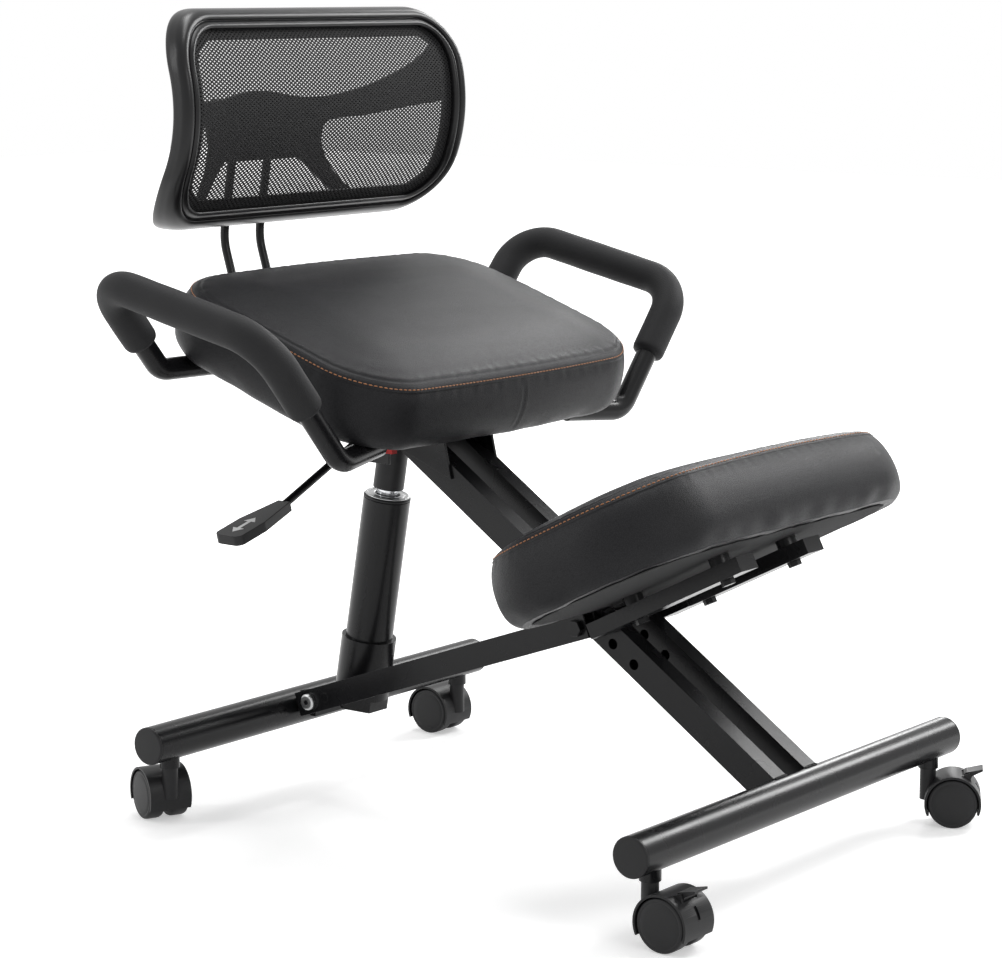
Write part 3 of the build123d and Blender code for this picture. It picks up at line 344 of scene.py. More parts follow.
# points at even steps along a polyline, by its running length
def evenSteps(points, count, closed):
    points = np.asarray(points, float)
    if closed:
        points = np.vstack([points, points[:1]])
    run = runningLength(points)
    steps = np.linspace(0, run[-1], count, endpoint=not closed)
    return np.column_stack([np.interp(steps, run, points[:, k]) for k in range(points.shape[1])])


# Catmull-Rom curve through the points, a given number of samples to each span
def smoothThrough(points, samples, closed):
    p = np.asarray(points, float)
    if closed:
        p = np.vstack([p[-1:], p, p[:2]])
    else:
        p = np.vstack([2 * p[0] - p[1], p, 2 * p[-1] - p[-2]])
    t = np.linspace(0, 1, samples, endpoint=False)[None, :, None]
    a, b, c, d = (p[k : len(p) - 3 + k, None, :] for k in range(4))
    curve = 0.5 * (2 * b + (c - a) * t + (2 * a - 5 * b + 4 * c - d) * t**2 + (3 * b - a - 3 * c + d) * t**3)
    curve = curve.reshape(-1, p.shape[1])
    return curve if closed else np.vstack([curve, points[-1]])


cornerPoints = {"oblong": 24, "bend": 28}  # points to one corner


# rounded oblong about the origin, starting at the middle of its -y side and running towards +x
def oblong(halfX, halfY, radius, count):
    turn = np.linspace(0, np.pi / 2, cornerPoints["oblong"])
    corners = [(1, -1, -np.pi / 2), (1, 1, 0.0), (-1, 1, np.pi / 2), (-1, -1, np.pi)]
    arcs = [
        np.column_stack([
            sx * (halfX - radius) + radius * np.cos(turn + start),
            sy * (halfY - radius) + radius * np.sin(turn + start),
        ])
        for sx, sy, start in corners
    ]
    return evenSteps(np.vstack([[[0.0, -halfY]], *arcs]), count, True)


# straight runs joined by arcs that touch both runs at each corner
def bentPath(points, radii, step):
    points = np.asarray(points, float)
    path = [points[:1]]
    for before, corner, after, radius in zip(points, points[1:], points[2:], radii):
        into = (corner - before) / np.linalg.norm(corner - before)
        out = (after - corner) / np.linalg.norm(after - corner)
        turn = math.acos(np.clip(into @ out, -1, 1))
        reach = radius * math.tan(turn / 2)
        side = out - into * (into @ out)
        side /= np.linalg.norm(side)
        angle = np.linspace(0, turn, cornerPoints["bend"])[:, None]
        centre = corner - into * reach + side * radius
        path.append(centre + radius * (into * np.sin(angle) - side * np.cos(angle)))
    path.append(points[-1:])
    path = np.vstack(path)
    return evenSteps(path, int(runningLength(path)[-1] / step), False)


# a unit vector square to the given one, level unless that stands upright
def squareTo(direction):
    upright = abs(direction[2]) > 0.9
    side = np.cross(direction, [1.0, 0.0, 0.0] if upright else [0.0, 0.0, 1.0])
    return side / np.linalg.norm(side)


# side vectors along a path, each turned as little as possible from the one before it
def pathFrames(path):
    along = np.gradient(path, axis=0)
    along /= np.linalg.norm(along, axis=1)[:, None]
    sideway = squareTo(along[0])
    rows = []
    for direction in along:
        sideway = sideway - direction * (sideway @ direction)
        sideway = sideway / np.linalg.norm(sideway)
        rows.append(sideway)
    first = np.array(rows)
    return first, np.cross(along, first)


# round tube along a path: a circle of the radius at each point, closed by a point at both ends
def tubePiece(name, path, radius, around, material, body):
    first, second = (way[:, None, :] for way in pathFrames(path))
    angle = roundAngles(around)[:, None]
    ring = np.cos(angle) * first + np.sin(angle) * second
    points = path[:, None, :] + radius[:, None, None] * ring
    flat = np.vstack([points.reshape(-1, 3), path[:1], path[-1:]])
    return putPiece(name, flat, tubeFaces(len(path), around), material, body)


# turned shape: a profile of (distance along, radius) swept round an axis; a ring's profile closes on itself
def turnedPiece(name, centre, axis, profile, around, material, body, ring=False):
    axis = np.asarray(axis, float) / np.linalg.norm(axis)
    first = squareTo(axis)
    angle = roundAngles(around)[:, None]
    circle = np.cos(angle) * first + np.sin(angle) * np.cross(axis, first)
    points = centre + profile[:, None, :1] * axis + profile[:, None, 1:] * circle[None]
    if ring:
        return putPiece(name, points, gridFaces(len(profile), around, closeRows=True), material, body)
    flat = np.vstack([points.reshape(-1, 3), centre + profile[[0, -1], :1] * axis])
    return putPiece(name, flat, tubeFaces(len(profile), around), material, body)


# machined and welded parts: a merged copy of each solid, with flat faces joined and edges eased
slots = {part["node"]: part["material_slot"] for part in frame["record"]["subparts"]}
bodyOf = {node: body for body, nodes in frame["record"]["behaviour"]["bodies"].items() for node in nodes}
slotFinish = {
    "black_steel": steelPaint, "chrome_steel": chrome, "bolt_steel": zinc, "black_plastic": blackNylon,
    "wheel_plastic": wheelNylon, "red_plastic": redPlastic,
}
paintedBolts = {
    "scissor_bolt", "lift_pin", "top_pin", "knee_bolt_right_rear", "knee_bolt_right_front",
    "knee_bolt_left_rear", "knee_bolt_left_front",
}
remadeNodes = {
    "seat_cushion", "knee_cushion", "seat_board", "knee_board", "handle_grip_right", "handle_grip_left",
    "back_mesh", "back_rim", "back_shell",
}
easedEdge = {"black_steel": 0.9, "bolt_steel": 0.5, "black_plastic": 0.6, "red_plastic": 0.25}
hardAngle = {"flat": 0.3, "sharp": 32.0, "eased": 40.0}


# a node's name as one word: seat_bracket becomes seatBracket
def pieceName(node):
    first, *rest = node.split("_")
    return first + "".join(word.capitalize() for word in rest)


def easedCopy(node):
    slot = slots[node]
    mesh = frame["nodes"][node].data.copy()
    work = bmesh.new()
    work.from_mesh(mesh)
    bmesh.ops.remove_doubles(work, verts=work.verts, dist=2e-6)
    bmesh.ops.dissolve_limit(
        work, angle_limit=math.radians(hardAngle["flat"]), verts=work.verts, edges=work.edges,
        use_dissolve_boundaries=False,
    )
    work.to_mesh(mesh)
    work.free()
    mesh.name = pieceName(node)
    mesh.materials.clear()
    mesh.materials.append(steelPaint if node in paintedBolts else slotFinish[slot])
    mesh.polygons.foreach_set("use_smooth", np.ones(len(mesh.polygons), bool))
    mesh.set_sharp_from_angle(angle=math.radians(hardAngle["sharp"]))
    piece = putObject(pieceName(node), mesh)
    if slot in easedEdge:
        ease = piece.modifiers.new("easedEdges", "BEVEL")
        ease.width = easedEdge[slot] * mm
        ease.segments = 2
        ease.limit_method = "ANGLE"
        ease.angle_limit = math.radians(hardAngle["eased"])
        ease.use_clamp_overlap = True
        ease.harden_normals = True
    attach(piece, bodyOf[node])
    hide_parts(node)


for node in frame["nodes"]:
    if node not in remadeNodes and not node.startswith("caster_wheel"):
        easedCopy(node)
print("hard parts eased")


# cushions: rings of one outline, drawn in and lifted along a profile, then puffed as cloth
seat = {
    "name": "seatCushion", "node": "seat_cushion", "board": "seat_board", "body": "seat_frame",
    "origin": (0, 162.5, 441), "tilt": 19.0, "facing": 1, "lift": 0.0,
    "halfWidth": 225.0, "halfDepth": 148.0, "corner": 72.0, "bow": 9.0, "thickness": 74.0,
    "crownDrop": -3.0, "arch": 1.5, "rearDrop": 5.0, "bulge": 1.2, "pressed": 0.0, "puff": 4.5,
    "pressure": 2.2, "stitchPitch": 5.0, "wave": 1.0, "folds": 10,
}
kneePad = {
    "name": "kneeCushion", "node": "knee_cushion", "board": "knee_board", "body": "kneeler_frame",
    "origin": (0, -208.0, 326.9), "tilt": 27.0, "facing": -1, "lift": -38.0,
    "halfWidth": 235.0, "halfDepth": 120.0, "corner": 92.0, "bow": 5.0, "thickness": 76.0,
    "crownDrop": 0.0, "arch": 8.0, "rearDrop": 0.0, "bulge": 1.7, "pressed": 1.0, "puff": 4.5,
    "pressure": 2.2, "stitchPitch": 5.0, "wave": 1.3, "folds": 10,
}
# share of the thickness and drawn-in distance, from under the board round the side to the crown
cushionProfile = np.array([
    (-0.035, 30.0), (-0.035, 13.5), (-0.022, 10.6), (0.012, 7.6), (0.06, 4.8), (0.13, 2.3), (0.22, 0.7),
    (0.32, 0.0), (0.44, 0.2), (0.56, 1.0), (0.67, 2.4), (0.76, 4.4), (0.825, 6.8), (0.868, 9.8), (0.90, 14.5),
    (0.927, 21.5), (0.950, 31.0), (0.970, 45.0), (0.985, 61.0), (0.995, 79.0), (1.0, 98.0),
])
# the cover's rows and points, coarse for the cloth and fine for the piece, and where its shape changes
cover = {
    "profileSteps": 12, "coarseRows": 44, "coarseCount": 210, "fineRows": 54, "seamRows": 34,
    "fineCount": 420, "crownRows": 12, "crownStep": 0.05, "crownLift": 0.6, "crownFrom": 0.86,
    "crownPower": 0.7, "cornerShrink": 0.8, "leastCorner": 12.0, "bulgeRise": (0.3, 0.6),
    "bulgeFall": (0.9, 0.98), "archRise": (0.25, 0.8), "pressedSide": (0.55, 0.9), "pressedWidth": 95.0,
    "clothFrames": 20,
}
# places on the seam as shares of the thickness, depths and widths in millimetres
seam = {
    "lipLow": 0.785, "stitch": 0.818, "crease": 0.882, "lipProud": 0.9, "creaseDeep": 1.3, "creaseWide": 2.2,
    "lipRise": (0.777, 0.789), "lipFall": (0.872, 0.932), "margin": 0.03, "heldBelow": 0.03, "hold": 0.55,
    "puckerOver": 4.0, "puckerUnder": 3.0, "puckerWide": 5.0, "pastSeam": 50.0,
}
# side panel: its band, the join at the front's middle and the slack along its foot
sidePanel = {
    "rise": (0.03, 0.12), "fall": (0.66, 0.72), "joinDeep": 0.9, "joinWide": 0.006, "joinLip": 0.35,
    "joinLipWide": 0.022, "slackAt": 0.05, "slackWide": 0.10,
    "slack": [(0.55, 9, 0.7), (0.4, 17, 2.1), (0.3, 31, 0.0)],
}
profileCurve = smoothThrough(cushionProfile, cover["profileSteps"], False)
profilePlaces = np.linspace(0, 1, len(profileCurve))
crownScales = np.linspace(1, 0, cover["crownRows"] + 2)[1:-1]


# local x, y, z of a cushion to the chair's frame: x to the side, y up the slope, z square to it
def toChair(cushion, local):
    tilt = math.radians(cushion["tilt"])
    facing = cushion["facing"]
    xWay = np.array([facing, 0, 0])
    yWay = np.array([0, facing * math.cos(tilt), math.sin(tilt)])
    zWay = np.array([0, -facing * math.sin(tilt), math.cos(tilt)])
    local = np.asarray(local, float)
    placed = local[..., :1] * xWay + local[..., 1:2] * yWay + (local[..., 2:] + cushion["lift"]) * zWay
    return (placed + np.array(cushion["origin"])) * mm


# outline drawn in by an inset: a rounded oblong whose sides bow outwards, fuller at -y
def cushionOutline(cushion, inset, count):
    halfX = cushion["halfWidth"] - inset
    halfY = cushion["halfDepth"] - inset
    corner = max(cushion["corner"] - cover["cornerShrink"] * inset, cover["leastCorner"])
    flat = oblong(halfX, halfY, corner, count)
    x, y = flat[:, 0], flat[:, 1]
    bowY = np.where(y < 0, cushion["bow"], cushion["bow"] / 2)
    wideX = x * (1 + cushion["bow"] / 2 / halfX * (1 - (y / halfY) ** 2))
    wideY = y * (1 + bowY / halfY * (1 - (x / halfX) ** 2))
    return np.column_stack([wideX, wideY])


# rings at the given places along the profile: the outline drawn in there, at its share of the thickness
def cushionRings(cushion, places, count):
    shares = np.interp(places, profilePlaces, profileCurve[:, 0])
    insets = np.interp(places, profilePlaces, profileCurve[:, 1])
    rounded = softBand(cover["bulgeRise"], cover["bulgeFall"], shares)
    insets = insets * (1 + (cushion["bulge"] - 1) * rounded)
    crown = np.clip((shares - cover["crownFrom"]) / (1 - cover["crownFrom"]), 0, 1) ** cover["crownPower"]
    heights = shares * cushion["thickness"] - crown * cushion["crownDrop"]
    rings = [
        np.column_stack([cushionOutline(cushion, inset, count), np.full(count, height)])
        for inset, height in zip(insets, heights)
    ]
    return np.array(rings), shares, insets


# rings past the profile's end: the last one shrunk by each scale and lifted by what its square has lost
def addCrownRings(rings, scales):
    last = rings[-1]
    lift = cover["crownLift"]
    middle = [np.column_stack([last[:, :2] * scale, last[:, 2] + lift * (1 - scale**2)]) for scale in scales]
    return np.concatenate([rings, np.array(middle)])


# the upper half is lifted in the middle of the width, falling off as the square of x towards both ends,
# and lowered towards the back as the square of y
def archedRings(cushion, rings, shares):
    lift = cushion["arch"] * np.maximum(1 - (rings[..., 0] / cushion["halfWidth"]) ** 2, 0)
    lift = lift - cushion["rearDrop"] * np.maximum(rings[..., 1] / cushion["halfDepth"], 0) ** 2
    lift = lift * smoothStep(*cover["archRise"], shares)[:, None]
    return np.concatenate([rings[..., :2], rings[..., 2:] + lift[..., None]], axis=2)


# closed mesh from rings: a point under the middle and a point on the crown's middle
def closedRings(rings):
    rows, count = rings.shape[:2]
    foot = np.array([[0, 0, rings[0, 0, 2]]])
    top = np.array([[0, 0, rings[-1, :, 2].mean()]])
    return np.vstack([rings.reshape(-1, 3), foot, top]), tubeFaces(rows, count)


# how far each coarse ring point moves when the cover is blown up a little and held at its edges
def clothPuff(cushion, rings, held):
    points, faces = closedRings(rings)
    mesh = bpy.data.meshes.new("puff")
    mesh.from_pydata((points * mm).tolist(), [], faces)
    blown = putObject("puff", mesh)
    group = blown.vertex_groups.new(name="held")
    rows, count = rings.shape[:2]
    for weight in np.unique(held[held > 0]):
        members = np.flatnonzero(held == weight)
        group.add((members[:, None] * count + np.arange(count)).ravel().tolist(), float(weight), "REPLACE")
    group.add([rows * count], 1.0, "REPLACE")
    cloth = blown.modifiers.new("cloth", "CLOTH")
    settings = cloth.settings
    settings.quality = 6
    settings.mass = 0.3
    settings.tension_stiffness = 20
    settings.compression_stiffness = 20
    settings.bending_stiffness = 2.0
    settings.use_pressure = True
    settings.uniform_pressure_force = cushion["pressure"]
    settings.vertex_group_mass = "held"
    settings.pin_stiffness = 1.5
    settings.effector_weights.gravity = 0.0
    cloth.collision_settings.use_collision = False
    scene = bpy.context.scene
    for step in range(1, cover["clothFrames"] + 1):
        scene.frame_set(step)
    solved = blown.evaluated_get(bpy.context.evaluated_depsgraph_get()).to_mesh()
    moved = np.zeros(len(points) * 3)
    solved.vertices.foreach_get("co", moved)
    scene.frame_set(1)
    bpy.data.objects.remove(blown)
    bpy.data.meshes.remove(mesh)
    # a shift never passes the puff's size, and each ring keeps only its slow folds
    shift = moved.reshape(-1, 3) / mm - points
    size = np.linalg.norm(shift, axis=1, keepdims=True)
    shift *= cushion["puff"] / (size + cushion["puff"])
    waves = np.fft.rfft(shift[: rows * count].reshape(rows, count, 3), axis=1)
    reach = np.linalg.norm(rings[..., :2], axis=2).mean(axis=1)
    most = cushion["folds"] * (reach / reach.max()) ** 1.5
    waves = waves * (np.arange(waves.shape[1])[None, :] < most[:, None])[..., None]
    return np.fft.irfft(waves, count, axis=1)


# a coarse (rows, count, 3) field read at finer rows and columns, wrapping round the columns
def refine(field, coarseRows, fineRows, fineCount):
    rows, count = field.shape[:2]
    around = np.concatenate([field, field[:, :1]], axis=1)
    columns = np.linspace(0, count, fineCount, endpoint=False)
    low = np.floor(columns).astype(int)
    part = (columns - low)[None, :, None]
    wide = around[:, low] * (1 - part) + around[:, low + 1] * part
    place = np.interp(fineRows, coarseRows, np.arange(rows))
    low = np.clip(np.floor(place).astype(int), 0, rows - 2)
    part = (place - low)[:, None, None]
    return wide[low] * (1 - part) + wide[low + 1] * part


# unit normals of rings: the way round a ring crossed with the way from ring to ring
def gridNormals(points):
    along = np.roll(points, -1, axis=1) - np.roll(points, 1, axis=1)
    across = np.gradient(points, axis=0)
    normal = np.cross(along, across)
    return normal / np.maximum(np.linalg.norm(normal, axis=2, keepdims=True), 1e-9)


# cover of a cushion: fine rings moved by the coarse cloth's puff, then out along their normals at the seam
def makeCushion(cushion):
    coarsePlaces = np.linspace(0, 1, cover["coarseRows"])
    coarse, coarseShares, _ = cushionRings(cushion, coarsePlaces, cover["coarseCount"])
    coarse = addCrownRings(coarse, crownScales[::2])
    added = len(coarse) - len(coarseShares)
    coarse = archedRings(cushion, coarse, np.pad(coarseShares, (0, added), constant_values=1.0))
    coarseRows = np.concatenate([coarsePlaces, 1 + 2 * cover["crownStep"] * np.arange(1, added + 1)])
    held = np.zeros(len(coarse))
    held[: len(coarseShares)][coarseShares < seam["heldBelow"]] = 1.0
    held[np.argmin(abs(coarseShares - seam["crease"]))] = seam["hold"]
    puff = clothPuff(cushion, coarse, held)

    # fine rings, close together about the seam
    seamEnds = [seam["lipLow"] - seam["margin"], seam["crease"] + seam["margin"]]
    seamPlaces = np.linspace(*np.interp(seamEnds, profileCurve[:, 0], profilePlaces), cover["seamRows"])
    places = np.unique(np.concatenate([np.linspace(0, 1, cover["fineRows"]), seamPlaces]))
    rings, shares, insets = cushionRings(cushion, places, cover["fineCount"])
    run = runningLength(np.column_stack([shares * cushion["thickness"], insets]))
    creaseRun = np.interp(seam["crease"], shares, run)
    lipRun = np.interp(seam["lipLow"], shares, run)
    rings = addCrownRings(rings, crownScales)
    added = len(crownScales)
    rows = np.concatenate([places, 1 + cover["crownStep"] * np.arange(1, added + 1)])
    run = np.pad(run, (0, added), constant_values=run[-1] + seam["pastSeam"])[:, None]
    shares = np.pad(shares, (0, added), constant_values=1.0)
    rings = archedRings(cushion, rings, shares)
    # the cover lies flat on the low side's middle, where the rails pass close by
    lowSide = smoothStep(*cover["pressedSide"], -rings[..., 1] / cushion["halfDepth"])
    free = 1 - cushion["pressed"] * lowSide * bell(rings[..., 0], cover["pressedWidth"])
    rings = rings + refine(puff, coarseRows, rows, cover["fineCount"]) * free[..., None]
    shares = shares[:, None]

    # lip of the top panel, seam crease, the side panel's join at the front, slack and puckers of the cover
    turn = roundAngles(cover["fineCount"])[None, :]
    lip = seam["lipProud"] * softBand(seam["lipRise"], seam["lipFall"], shares)
    crease = -seam["creaseDeep"] * bell(run - creaseRun, seam["creaseWide"])
    panel = softBand(sidePanel["rise"], sidePanel["fall"], shares)
    apart = np.minimum(turn, 2 * np.pi - turn)
    join = sidePanel["joinLip"] * bell(apart, sidePanel["joinLipWide"])
    join = join - sidePanel["joinDeep"] * bell(apart, sidePanel["joinWide"])
    low = bell(shares - sidePanel["slackAt"], sidePanel["slackWide"]) * free
    slack = cushion["wave"] * sineSum(turn, sidePanel["slack"])
    pucker = 0.15 * np.sin(67 * turn + 1.3 * np.sin(5 * turn)) + 0.11 * np.sin(109 * turn + 0.6)
    near = bell(run - creaseRun - seam["puckerOver"], seam["puckerWide"])
    near = near + bell(run - lipRun + seam["puckerUnder"], seam["puckerWide"])
    detail = lip + crease + panel * join + low * slack + near * pucker
    rings = rings + detail[..., None] * gridNormals(rings)

    points, faces = closedRings(rings)
    points = toChair(cushion, points)
    piece = putPiece(cushion["name"], points, faces, leather, cushion["body"])
    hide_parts(cushion["node"])
    stitchRow = int(np.argmin(abs(shares[:, 0] - seam["stitch"])))
    return rings[stitchRow], gridNormals(rings)[stitchRow]


thread = {"radius": 0.55, "fill": 0.78, "sit": 0.25, "dip": 0.6, "tip": 0.35, "steps": 7, "around": 8}


# one row of stitches: short rounded runs of thread that dip into the cover at both ends
def makeStitches(cushion, line, normals):
    closed = np.vstack([line, line[:1]])
    away = np.vstack([normals, normals[:1]])
    run = runningLength(closed)
    starts = np.arange(0.0, run[-1], cushion["stitchPitch"])
    part = np.linspace(0, 1, thread["steps"])
    place = np.mod(starts[:, None] + part * cushion["stitchPitch"] * thread["fill"], run[-1])
    middle = np.stack([np.interp(place, run, closed[:, k]) for k in range(3)], axis=-1)
    up = np.stack([np.interp(place, run, away[:, k]) for k in range(3)], axis=-1)
    up /= np.linalg.norm(up, axis=-1, keepdims=True)
    along = np.gradient(middle, axis=1)
    along /= np.linalg.norm(along, axis=-1, keepdims=True)
    across = np.cross(along, up)
    arch = np.sin(np.pi * part)[None, :, None] ** 0.5
    middle = middle + up * (thread["sit"] + thread["dip"] * (arch - 1))
    radius = thread["radius"] * (thread["tip"] + (1 - thread["tip"]) * arch[..., None])
    angle = roundAngles(thread["around"])[:, None]
    ring = np.cos(angle) * across[:, :, None, :] + np.sin(angle) * up[:, :, None, :]
    points = middle[:, :, None, :] + radius * ring
    block = thread["steps"] * thread["around"]
    firstPoints = np.arange(len(starts))[:, None, None] * block
    quads = np.array(gridFaces(thread["steps"], thread["around"]))
    cap = np.arange(thread["around"])
    caps = np.stack([cap[::-1], cap + block - thread["around"]])
    faces = (quads + firstPoints).reshape(-1, 4).tolist()
    faces += (caps + firstPoints).reshape(-1, thread["around"]).tolist()
    name = cushion["name"].replace("Cushion", "Stitches")
    putPiece(name, toChair(cushion, points), faces, tanThread, cushion["body"])


lining = {
    "count": 260, "inset": 24.0, "under": 0.035,
    "waves": [(1.6, 13, 0.0), (1.1, 29, 1.0), (0.7, 53, 2.0)],
    "levels": [
        (0.55, 0.0), (0.97, 0.0), (1.0, -0.2), (1.003, -0.7), (0.995, -1.3), (0.96, -1.2), (0.5, -1.6),
    ],
}


# lined board under a cushion: its edge, waving a little, scaled and dropped by each level
def makeLining(cushion):
    count = lining["count"]
    edge = cushionOutline(cushion, lining["inset"], count)
    wave = sineSum(roundAngles(count), lining["waves"])
    edge = edge * (1 + wave[:, None] / np.linalg.norm(edge, axis=1)[:, None])
    underside = -lining["under"] * cushion["thickness"]
    rings = np.array([
        np.column_stack([edge * scale, np.full(count, underside + drop)]) for scale, drop in lining["levels"]
    ])
    points, faces = closedRings(rings)
    name = cushion["name"].replace("Cushion", "Lining")
    piece = putPiece(name, toChair(cushion, points), faces, liningCloth, cushion["body"])
    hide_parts(cushion["board"])


for cushion in (seat, kneePad):
    line, normals = makeCushion(cushion)
    makeStitches(cushion, line, normals)
    makeLining(cushion)
    print(cushion["name"], "made")


# foam grips: a tube round the handle loop, rounded off at both ends, with a faint ripple
grip = {
    "route": [(269.28, -110.41, 38.0), (327.0, -88.0, 103.0), (327.0, 125.0, 78.0), (269.33, 105.31, 14.0)],
    "bends": [44.0, 38.0], "radius": 17.0, "endRound": 6.0, "step": 3.0, "around": 48,
    "ripples": [(0.12, 1 / 23.0, 0.0), (0.08, 1 / 7.3, 0.0)],
}
for name, side in sides.items():
    local = np.array(grip["route"]) * np.array([side, 1, 1])
    path = bentPath(toChair(seat, local), [bend * mm for bend in grip["bends"]], grip["step"] * mm)
    run = runningLength(path) / mm
    fromEnd = np.minimum(run, run[-1] - run)
    closing = np.clip(1 - fromEnd / grip["endRound"], 0, 1)
    radius = grip["radius"] - grip["endRound"] * (1 - np.sqrt(1 - closing**2))
    radius = (radius + sineSum(run, grip["ripples"])) * mm
    gripName = "gripFoam" + name.capitalize()
    piece = tubePiece(gripName, path, radius, grip["around"], gripFoam, "seat_frame")
    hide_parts("handle_grip_" + name)
print("grips made")


# back: the rim and the net follow two lumbar arcs that meet at their foremost point
back = {
    "halfWidth": 215.0, "top": 806.0, "bottom": 587.0, "corner": 60.0, "rimWidth": 20.0,
    "apexY": 255.5, "apexZ": 708.0, "upperRadius": 156.0, "lowerRadius": 144.0, "netOffset": -4.0,
    "netHalfX": 3.0, "netHalfZ": 1.95, "netHole": 0.52, "netUnderRim": 3.5, "netThick": 0.55,
    "rimCount": 300, "rimSteps": 4,
}
backMiddle = (back["top"] + back["bottom"]) / 2
backHalf = (back["top"] - back["bottom"]) / 2


# depth of the lumbar curve at a height, moved back square to it by an offset
def lumbarY(z, offset):
    radius = np.where(z > back["apexZ"], back["upperRadius"], back["lowerRadius"])
    return back["apexY"] + radius - np.sqrt((radius - offset) ** 2 - (z - back["apexZ"]) ** 2)


# rim profile as (distance in from the outer edge, offset from the lumbar curve): a soft outer wall,
# two beads with a groove between them, then the ledge behind the net
rimProfile = [
    (4.0, 11.3), (1.2, 9.4), (0.1, 5.0), (0.0, 0.0), (0.2, -4.5), (1.6, -8.6), (4.3, -11.0), (7.0, -11.5),
    (9.6, -10.7), (10.9, -8.9), (11.4, -8.2), (12.3, -8.3), (13.0, -9.6), (15.0, -11.1), (17.2, -10.9),
    (19.2, -9.2), (20.0, -6.4), (20.1, -3.6), (22.0, -3.1), (29.5, -3.0), (30.9, -2.2), (31.0, 0.6),
    (29.6, 1.8), (22.0, 1.9), (20.3, 3.2), (19.4, 7.6), (17.0, 10.8), (11.0, 11.5),
]
rimCurve = smoothThrough(rimProfile, back["rimSteps"], True)
rimRows = []
for inset, offset in rimCurve:
    flat = oblong(back["halfWidth"] - inset, backHalf - inset, back["corner"] - inset, back["rimCount"])
    z = flat[:, 1] + backMiddle
    rimRows.append(np.column_stack([flat[:, 0], lumbarY(z, offset), z]))
rimFaces = gridFaces(len(rimCurve), back["rimCount"], closeRows=True)
rim = putPiece("backRim", np.array(rimRows) * mm, rimFaces, rimPlastic, "seat_frame")
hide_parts("back_rim")


# net of diamond meshes: each cell is a diamond with a smaller diamond hole
def makeNet():
    halfX, halfZ = back["netHalfX"], back["netHalfZ"]
    spanX = back["halfWidth"] - back["rimWidth"] + back["netUnderRim"]
    spanZ = backHalf - back["rimWidth"] + back["netUnderRim"]
    reach = int(spanX / halfX + spanZ / halfZ) + 2
    i, j = np.meshgrid(np.arange(-reach, reach), np.arange(-reach, reach))
    x = ((i - j) * halfX).ravel()
    z = ((i + j) * halfZ).ravel()
    corner = back["corner"] - back["rimWidth"] + back["netUnderRim"]
    overX = np.maximum(abs(x) - (spanX - corner), 0)
    overZ = np.maximum(abs(z) - (spanZ - corner), 0)
    inside = (np.hypot(overX, overZ) < corner) & (abs(x) < spanX) & (abs(z) < spanZ)
    middle = np.column_stack([x, z])[inside]
    around = np.array([(halfX, 0), (0, halfZ), (-halfX, 0), (0, -halfZ)])
    outer = middle[:, None, :] + around[None]
    inner = middle[:, None, :] + around[None] * back["netHole"]
    flat = np.concatenate([outer, inner], axis=1).reshape(-1, 2)
    height = flat[:, 1] + backMiddle
    points = np.column_stack([flat[:, 0], lumbarY(height, back["netOffset"]), height])
    k = np.arange(4)
    quads = np.stack([k, (k + 1) % 4, 4 + (k + 1) % 4, 4 + k], axis=-1)
    faces = (quads[None] + 8 * np.arange(len(middle))[:, None, None]).reshape(-1, 4).tolist()
    net = putPiece("backNet", points * mm, faces, netYarn, "seat_frame")
    thicken = net.modifiers.new("yarn", "SOLIDIFY")
    thicken.thickness = back["netThick"] * mm
    thicken.offset = 0.0
    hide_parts("back_mesh")
    print("net cells", len(middle))


makeNet()

# moulded shell behind the net: edges as (x, z) on its right half, mirrored; the plate bows back round an arc
shell = {
    "centreY": 352.0, "edgeY": 258.5, "thickness": 5.0, "easing": 1.4, "faceSteps": 8, "samples": 8,
    "bandTop": [
        (0, 720.5), (25, 718.5), (58, 713), (95, 713), (134, 722), (160, 734), (178, 745.5), (189, 757),
        (195, 766), (200, 770), (206, 771),
    ],
    "bandLow": [
        (0, 648), (40, 648), (62, 650), (78, 658), (85, 670), (88, 681), (94, 686), (104, 688.5), (138, 692),
        (176, 700), (206, 706),
    ],
    "legInner": [
        (44, 662), (54, 650), (62, 644.5), (75, 633), (90, 618.5), (101, 608), (111, 598), (117, 591),
    ],
    "legOuter": [
        (79, 692), (84.5, 672), (86, 661), (90, 649), (100, 632), (116, 616), (132, 607), (150, 599),
    ],
    "legRows": 60, "blockHalf": (48.0, 13.0), "blockCorner": 5.2, "blockLow": 648.0, "blockTop": 712.3,
    "blockCount": 56, "blockEase": [(0.0, 1.6), (0.5, 0.5), (1.6, 0.0)], "flangeHalf": 132.0,
    "flangeFront": 321.4, "flangeLow": 588.0, "flangeTop": 600.0, "flangeRows": 61, "flangeEase": 1.0,
    "flangeLeast": 3.0, "sharp": 40.0,
}
shellSag = shell["centreY"] - shell["edgeY"]
shellRadius = (back["halfWidth"] ** 2 + shellSag**2) / (2 * shellSag)


# depth of the plate's front face: an arc round the chair's height axis
def shellY(x):
    return shell["centreY"] - shellRadius + np.sqrt(shellRadius**2 - x**2)


# closed tube of loops: quads between them and a point in the middle of the first and last
def closedLoops(loops, start):
    rows, count = loops.shape[:2]
    ends = loops[[0, -1]].mean(axis=1)
    return np.vstack([loops.reshape(-1, 3), ends]), tubeFaces(rows, count, start)


